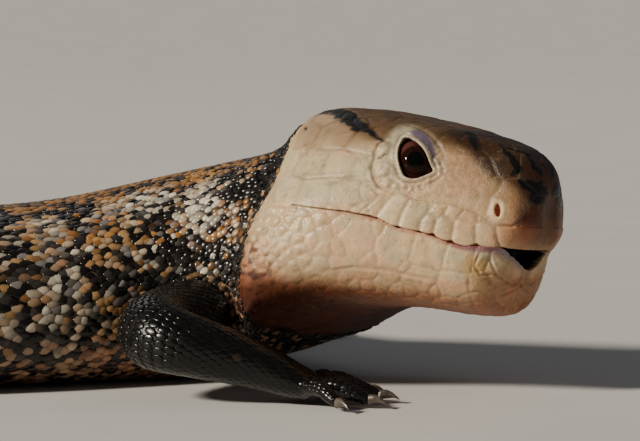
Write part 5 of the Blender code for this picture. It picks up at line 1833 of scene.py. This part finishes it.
def scale_material():
    """Glossy horny scales, darker at their edges, with a faint grain."""
    made, tree, shader = material("scale")
    place = tree.nodes.new("ShaderNodeTexCoord").outputs["Object"]
    tint = attribute_node(tree, "tint").outputs["Color"]
    gloss = attribute_node(tree, "gloss").outputs["Fac"]
    edge = attribute_node(tree, "edge").outputs["Fac"]
    fine = node(tree, "ShaderNodeTexNoise", Scale=2600.0, Detail=4.0, Roughness=0.6)
    broad = node(tree, "ShaderNodeTexNoise", Scale=900.0, Detail=2.0)
    for texture in (fine, broad):
        tree.links.new(place, texture.inputs["Vector"])
    colour = shade(tree, tint, fine.outputs["Fac"], 0.8, 1.2)
    colour = shade(tree, colour, broad.outputs["Fac"], 0.7, 1.3)
    colour = shade(tree, colour, maths(tree, "POWER", edge, 3.0), 1.10, 0.40)
    tree.links.new(colour, shader.inputs["Base Color"])
    rough = maths(tree, "ADD", gloss, maths(tree, "MULTIPLY", maths(tree, "SUBTRACT", fine.outputs["Fac"], 0.5), 0.22))
    tree.links.new(rough, shader.inputs["Roughness"])
    shader.inputs["Specular IOR Level"].default_value = 0.36
    bump = node(tree, "ShaderNodeBump", Strength=0.25, Distance=0.00008)
    tree.links.new(fine.outputs["Fac"], bump.inputs["Height"])
    tree.links.new(bump.outputs["Normal"], shader.inputs["Normal"])
    return made


def eye_material():
    """Wet eyeball: black pupil, very dark brown iris with faint rays, reddish brown white."""
    made, tree, shader = material("eye")
    tint = attribute_node(tree, "tint").outputs["Color"]
    place = tree.nodes.new("ShaderNodeTexCoord").outputs["Object"]
    fine = node(tree, "ShaderNodeTexNoise", Scale=1800.0, Detail=3.0)
    tree.links.new(place, fine.inputs["Vector"])
    colour = shade(tree, tint, fine.outputs["Fac"], 0.6, 1.4)
    tree.links.new(colour, shader.inputs["Base Color"])
    rough = maths(tree, "ADD", 0.04, maths(tree, "MULTIPLY", fine.outputs["Fac"], 0.04))
    tree.links.new(rough, shader.inputs["Roughness"])
    shader.inputs["Specular IOR Level"].default_value = 0.12
    bump = node(tree, "ShaderNodeBump", Strength=0.05, Distance=0.00005)
    tree.links.new(fine.outputs["Fac"], bump.inputs["Height"])
    tree.links.new(bump.outputs["Normal"], shader.inputs["Normal"])
    return made


def plain_material(name, colour, dark, roughness, scale, bump_height, coat=0.0):
    """A material with a two-tone grain, uneven gloss and fine relief."""
    made, tree, shader = material(name)
    place = tree.nodes.new("ShaderNodeTexCoord").outputs["Object"]
    fine = node(tree, "ShaderNodeTexNoise", Scale=scale, Detail=5.0, Roughness=0.6)
    tree.links.new(place, fine.inputs["Vector"])
    ramp = tree.nodes.new("ShaderNodeValToRGB")
    ramp.color_ramp.elements[0].color = (*dark, 1)
    ramp.color_ramp.elements[1].color = (*colour, 1)
    ramp.color_ramp.elements[0].position = 0.3
    ramp.color_ramp.elements[1].position = 0.7
    tree.links.new(fine.outputs["Fac"], ramp.inputs["Fac"])
    tree.links.new(ramp.outputs["Color"], shader.inputs["Base Color"])
    rough = maths(tree, "ADD", roughness, maths(tree, "MULTIPLY", maths(tree, "SUBTRACT", fine.outputs["Fac"], 0.5), 0.2))
    tree.links.new(rough, shader.inputs["Roughness"])
    shader.inputs["Coat Weight"].default_value = coat
    shader.inputs["Coat Roughness"].default_value = 0.08
    bump = node(tree, "ShaderNodeBump", Strength=0.4, Distance=bump_height)
    tree.links.new(fine.outputs["Fac"], bump.inputs["Height"])
    tree.links.new(bump.outputs["Normal"], shader.inputs["Normal"])
    return made


def make_eyeball(eye, name, look):
    """A ball with a slightly raised cornea over a near-black iris, dark red towards its rear."""
    obj = ball(name, eye.centre, (EYE_RADIUS,) * 3, (eye.rear, eye.up, eye.axis), 96)
    points = get_points(obj)
    off = points - eye.centre
    a, b, depth = eye.plane(points)
    gap = np.hypot(a - IRIS_AT[0], b - IRIS_AT[1])
    gap = np.where(depth > 0, gap, 9)
    raised = 0.10 * smoothstep(IRIS_RADIUS + 0.5, IRIS_RADIUS - 0.8, gap)
    set_points(obj, points + unit(off) * raised[:, None])
    turn = np.arctan2(b - IRIS_AT[1], a - IRIS_AT[0])
    rays = noise(np.stack([np.cos(turn) * 4, np.sin(turn) * 4, gap * 0.6], 1), 0.35, 5)
    iris = mix((0.006, 0.0025, 0.002), (0.020, 0.006, 0.003), rays)
    white = mix((0.060, 0.014, 0.010), (0.028, 0.007, 0.006), rays)
    # Painted highlight: a lighter red patch at the upper rear of the eyeball.
    white = mix(white, (0.085, 0.028, 0.024), smoothstep(2.4, 1.0, np.hypot(a - 1.9, b - 2.9)) * 0.7)
    colour = mix(iris, white, smoothstep(IRIS_RADIUS - 0.05, IRIS_RADIUS + 0.3, gap))
    ring = np.exp(-((gap - IRIS_RADIUS) / 0.16) ** 2)
    colour = mix(colour, (0.005, 0.003, 0.003), ring * 0.7)
    colour = mix(colour, (0.002, 0.002, 0.002), smoothstep(PUPIL_RADIUS + 0.12, PUPIL_RADIUS - 0.12, gap))
    write_colour(obj.data, "tint", colour)
    finish(obj, look, [name.replace("eyeball", "eye")])
    return obj


def make_tongue(spine, look):
    """The front of the tongue between the parted lips, with a groove down its middle."""
    sections = (
        (7.0, 1.4, -11.2, -12.2), (7.6, 3.0, -10.8, -12.3), (8.4, 4.2, -10.5, -12.3), (9.4, 4.6, -10.3, -12.2),
        (10.4, 4.4, -10.2, -12.0),
    )
    table = np.array(sections)
    rings = []
    angles = np.arange(40) * 2 * math.pi / 40
    for s in np.linspace(7.0, 10.4, 20):
        width, top, bottom = (np.interp(s, table[:, 0], table[:, k]) for k in (1, 2, 3))
        round_end = math.sqrt(max(0.04, 1 - ((7.7 - s) / 0.8) ** 2)) if s < 7.7 else 1.0
        middle, half = (top + bottom) / 2, (top - bottom) / 2 * round_end
        out = width * round_end * np.sin(angles)
        up = middle + half * np.cos(angles) - 0.12 * np.exp(-(out / 0.7) ** 2) * (np.cos(angles) > 0)
        rings.append(head_world(spine, np.stack([np.full(40, s), out, up], 1)))
    obj = recalc(tube_object("tongue_front", rings))
    finish(obj, look, ["tongue"])


def make_claw(name, tip, way, node_name, look):
    """A claw that curves down from the end of a digit, grooved where it leaves the skin."""
    rings = []
    start = tip + way * CLAW_GAP
    across = unit(np.cross(way, (0, 0, 1)))
    angles = np.arange(16) * 2 * math.pi / 16
    for k in range(14):
        share = k / 14
        centre = start + way * CLAW_LENGTH * share
        centre[2] = tip[2] + 0.35 * math.sin(share * math.pi) - 0.85 * share**2
        radius = CLAW_RADIUS * 0.96 * (1 - share) ** 0.75
        root = 1 - 0.12 * math.exp(-((share - 0.1) / 0.05) ** 2)
        ring = centre + np.outer(np.cos(angles), across) * radius * 0.72 * root
        ring = ring + np.outer(np.sin(angles), (0, 0, 1)) * radius * root
        ring[:, 2] = np.maximum(ring[:, 2], 0.06)
        rings.append(ring)
    peak = start + way * CLAW_LENGTH * 0.995
    peak[2] = max(tip[2] - 0.93, 0.1)
    obj = recalc(tube_object(name, rings[::-1], tip=peak))
    finish(obj, look, [node_name])


def finish(obj, look, replaced):
    obj.data.materials.clear()
    obj.data.materials.append(look)
    obj.data.polygons.foreach_set("use_smooth", np.ones(len(obj.data.polygons), bool))
    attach(obj, "root")
    if replaced:
        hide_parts(*replaced)


FLESH = [
    "head", "lower_jaw", "neck", "trunk_front", "trunk_middle", "trunk_rear", "tail_base", "tail_middle", "tail_tip",
]


def flesh_nodes():
    nodes = list(FLESH)
    for name, spec in LIMBS.items():
        foot = "hand" if spec["kind"] == FORE_REACH else "foot"
        nodes += [f"{name}_upper", f"{name}_lower", f"{name}_{foot}"]
    return nodes


def make_coat(body, limbs, ground, look):
    """All scales of the neck, trunk, tail and limbs."""
    def trunk_look(found, random):
        local = body.spine.local(found)
        angle, over = body.polar(local)
        colour, black = body_colours(found, local, angle, random)
        share = smoothstep(44.3, 46.3, local[:, 0] + 3.4 * (cloud(found, 6.0, 91) - 0.5))
        turn = np.abs(angle) / math.pi
        flesh = mix(OLIVE_TAN, PALE_FLESH, smoothstep(0.2, 0.35, turn))
        flesh = mix(flesh, THROAT_RUST, smoothstep(0.5, 0.62, turn))
        colour = mix(flesh * (0.85 + 0.3 * random)[:, None], colour, share)
        limb = limb_share(body, limbs, found, over)
        colour = mix(colour, limb_colours(found, random), limb)
        return colour, 0.27 + 0.08 * (random - 0.5) - 0.04 * black

    def limb_look(found, random):
        local = body.spine.local(found)
        angle, over = body.polar(local)
        colour, _ = body_colours(found, local, angle, random)
        limb = np.maximum(limb_share(body, limbs, found, over), 0.35)
        return mix(colour, limb_colours(found, random), limb), 0.25 + 0.08 * (random - 0.5)

    def trunk_knob(found):
        return 0.15 + 0.8 * smoothstep(135, 85, body.spine.local(found)[:, 0])

    def limb_knob(found):
        return np.full(len(found), 0.35)

    fine, coarse = (0.5, 0.86, 1.0), (0.68, 1.0)
    spans = (
        (47.2, 76.0, fine), (76.0, 112.0, fine), (112.0, 166.0, fine), (166.0, 224.0, coarse), (224.0, 300.0, coarse),
        (300.0, 390.0, coarse), (390.0, 527.0, coarse),
    )
    for number, (start, end, shares) in enumerate(spans, 1):
        seeds = body_scales(body, start, end)
        obj = plate_scales(f"scales_body_{number}", seeds, ground, shares, 0.60, trunk_knob, trunk_look)
        finish(obj, look, [])
    for limb in limbs:
        obj = plate_scales(f"scales_{limb.name}", limb_scales(limb, 1.4), ground, coarse, 0.29, limb_knob, limb_look)
        finish(obj, look, [])


def make_claws(limbs, look):
    for limb in limbs:
        for number, (turn, seat, length, half) in enumerate(DIGITS[limb.kind], 1):
            path, way = digit_path(limb, turn, seat, length)
            node_name = f"claw_{limb.name}_{number}"
            make_claw(node_name.replace("claw", "talon"), path[-1], way, node_name, look)


# Camera: elevation, distance and the width that the frame spans at the head, in degrees and millimetres
CAMERA_ELEVATION = 5.0
CAMERA_DISTANCE = 700.0
FRAME_WIDTH = 106.7
SNOUT_IN_FRAME = (556, 205)


def make_camera(spine):
    tilt = math.radians(CAMERA_ELEVATION)
    look = Vector((0, math.cos(tilt), -math.sin(tilt)))
    right = Vector((1, 0, 0))
    up = right.cross(look)
    tip = Vector((*spine.place(0.0), SNOUT_LEVEL - 1.2))
    size = FRAME_WIDTH / 640
    centre = tip - right * (SNOUT_IN_FRAME[0] - 320) * size - up * (220.5 - SNOUT_IN_FRAME[1]) * size
    camera = bpy.data.cameras.new("camera")
    camera.sensor_width = 36
    camera.lens = 36 * CAMERA_DISTANCE / FRAME_WIDTH
    camera.clip_start = 0.05
    camera.clip_end = 20
    obj = bpy.data.objects.new("camera", camera)
    matrix = Matrix((right, up, -look)).transposed().to_4x4()
    matrix.translation = (centre - look * CAMERA_DISTANCE) * MM
    obj.matrix_world = matrix
    bpy.context.scene.collection.objects.link(obj)
    bpy.context.scene.camera = obj


def area_light(name, place, target, size, power, colour):
    light = bpy.data.lights.new(name, "AREA")
    light.shape = "DISK"
    light.size = size
    light.energy = power
    light.color = colour
    obj = bpy.data.objects.new(name, light)
    obj.location = place
    obj.rotation_euler = (Vector(target) - Vector(place)).to_track_quat("-Z", "Y").to_euler()
    bpy.context.scene.collection.objects.link(obj)


def make_stage():
    """A pale floor that reaches past the frame, a soft key light from the left front, and a faint sky."""
    reach = 10000
    corners = [(-reach, -reach, 0), (reach, -reach, 0), (reach, reach, 0), (-reach, reach, 0)]
    floor = mesh_object("floor", corners, [(0, 1, 2, 3)])
    floor.data.materials.append(plain_material("floor", (0.62, 0.605, 0.58), (0.605, 0.59, 0.565), 0.6, 40.0, 0.00005))
    world = bpy.data.worlds.new("studio")
    bpy.context.scene.world = world
    world.use_nodes = True
    world.node_tree.nodes["Background"].inputs["Color"].default_value = (0.88, 0.92, 1.0, 1)
    world.node_tree.nodes["Background"].inputs["Strength"].default_value = 0.11
    sun = bpy.data.lights.new("key", "SUN")
    sun.energy = 5.4
    sun.angle = math.radians(8)
    sun.color = (1.0, 0.92, 0.78)
    obj = bpy.data.objects.new("key", sun)
    obj.rotation_euler = Vector((0.74, 0.46, -0.46)).to_track_quat("-Z", "Y").to_euler()
    bpy.context.scene.collection.objects.link(obj)
    area_light("rim", (-0.2, 0.7, 0.55), (0.11, -0.01, 0.03), 0.4, 0.35, (1.0, 0.97, 0.92))


def main():
    spine = Spine()
    body = Body(spine)
    limbs = [Limb(spine, name) for name in LIMBS]
    eyes = [Eye(spine, 1), Eye(spine, -1)]
    make_camera(spine)
    make_stage()
    skin, plain = build_skin(body, limbs, eyes)
    relief = displace_head(skin, body, eyes, plain, shield_centres(body))
    colour_skin(skin, body, limbs, eyes, plain, relief)
    finish(skin, skin_material(), flesh_nodes())
    make_coat(body, limbs, Ground(skin), scale_material())
    look = eye_material()
    for eye, side in zip(eyes, ("right", "left")):
        make_eyeball(eye, "eyeball_" + side, look)
    # The tongue is its own blue darkened nearly to black, as painted shade inside the mouth.
    make_tongue(spine, plain_material("tongue", (0.020, 0.028, 0.07), (0.006, 0.008, 0.02), 0.3, 1500.0, 0.0001, 0.4))
    make_claws(limbs, plain_material("claw", (0.11, 0.085, 0.065), (0.025, 0.02, 0.018), 0.35, 900.0, 0.00008, 0.3))


main()
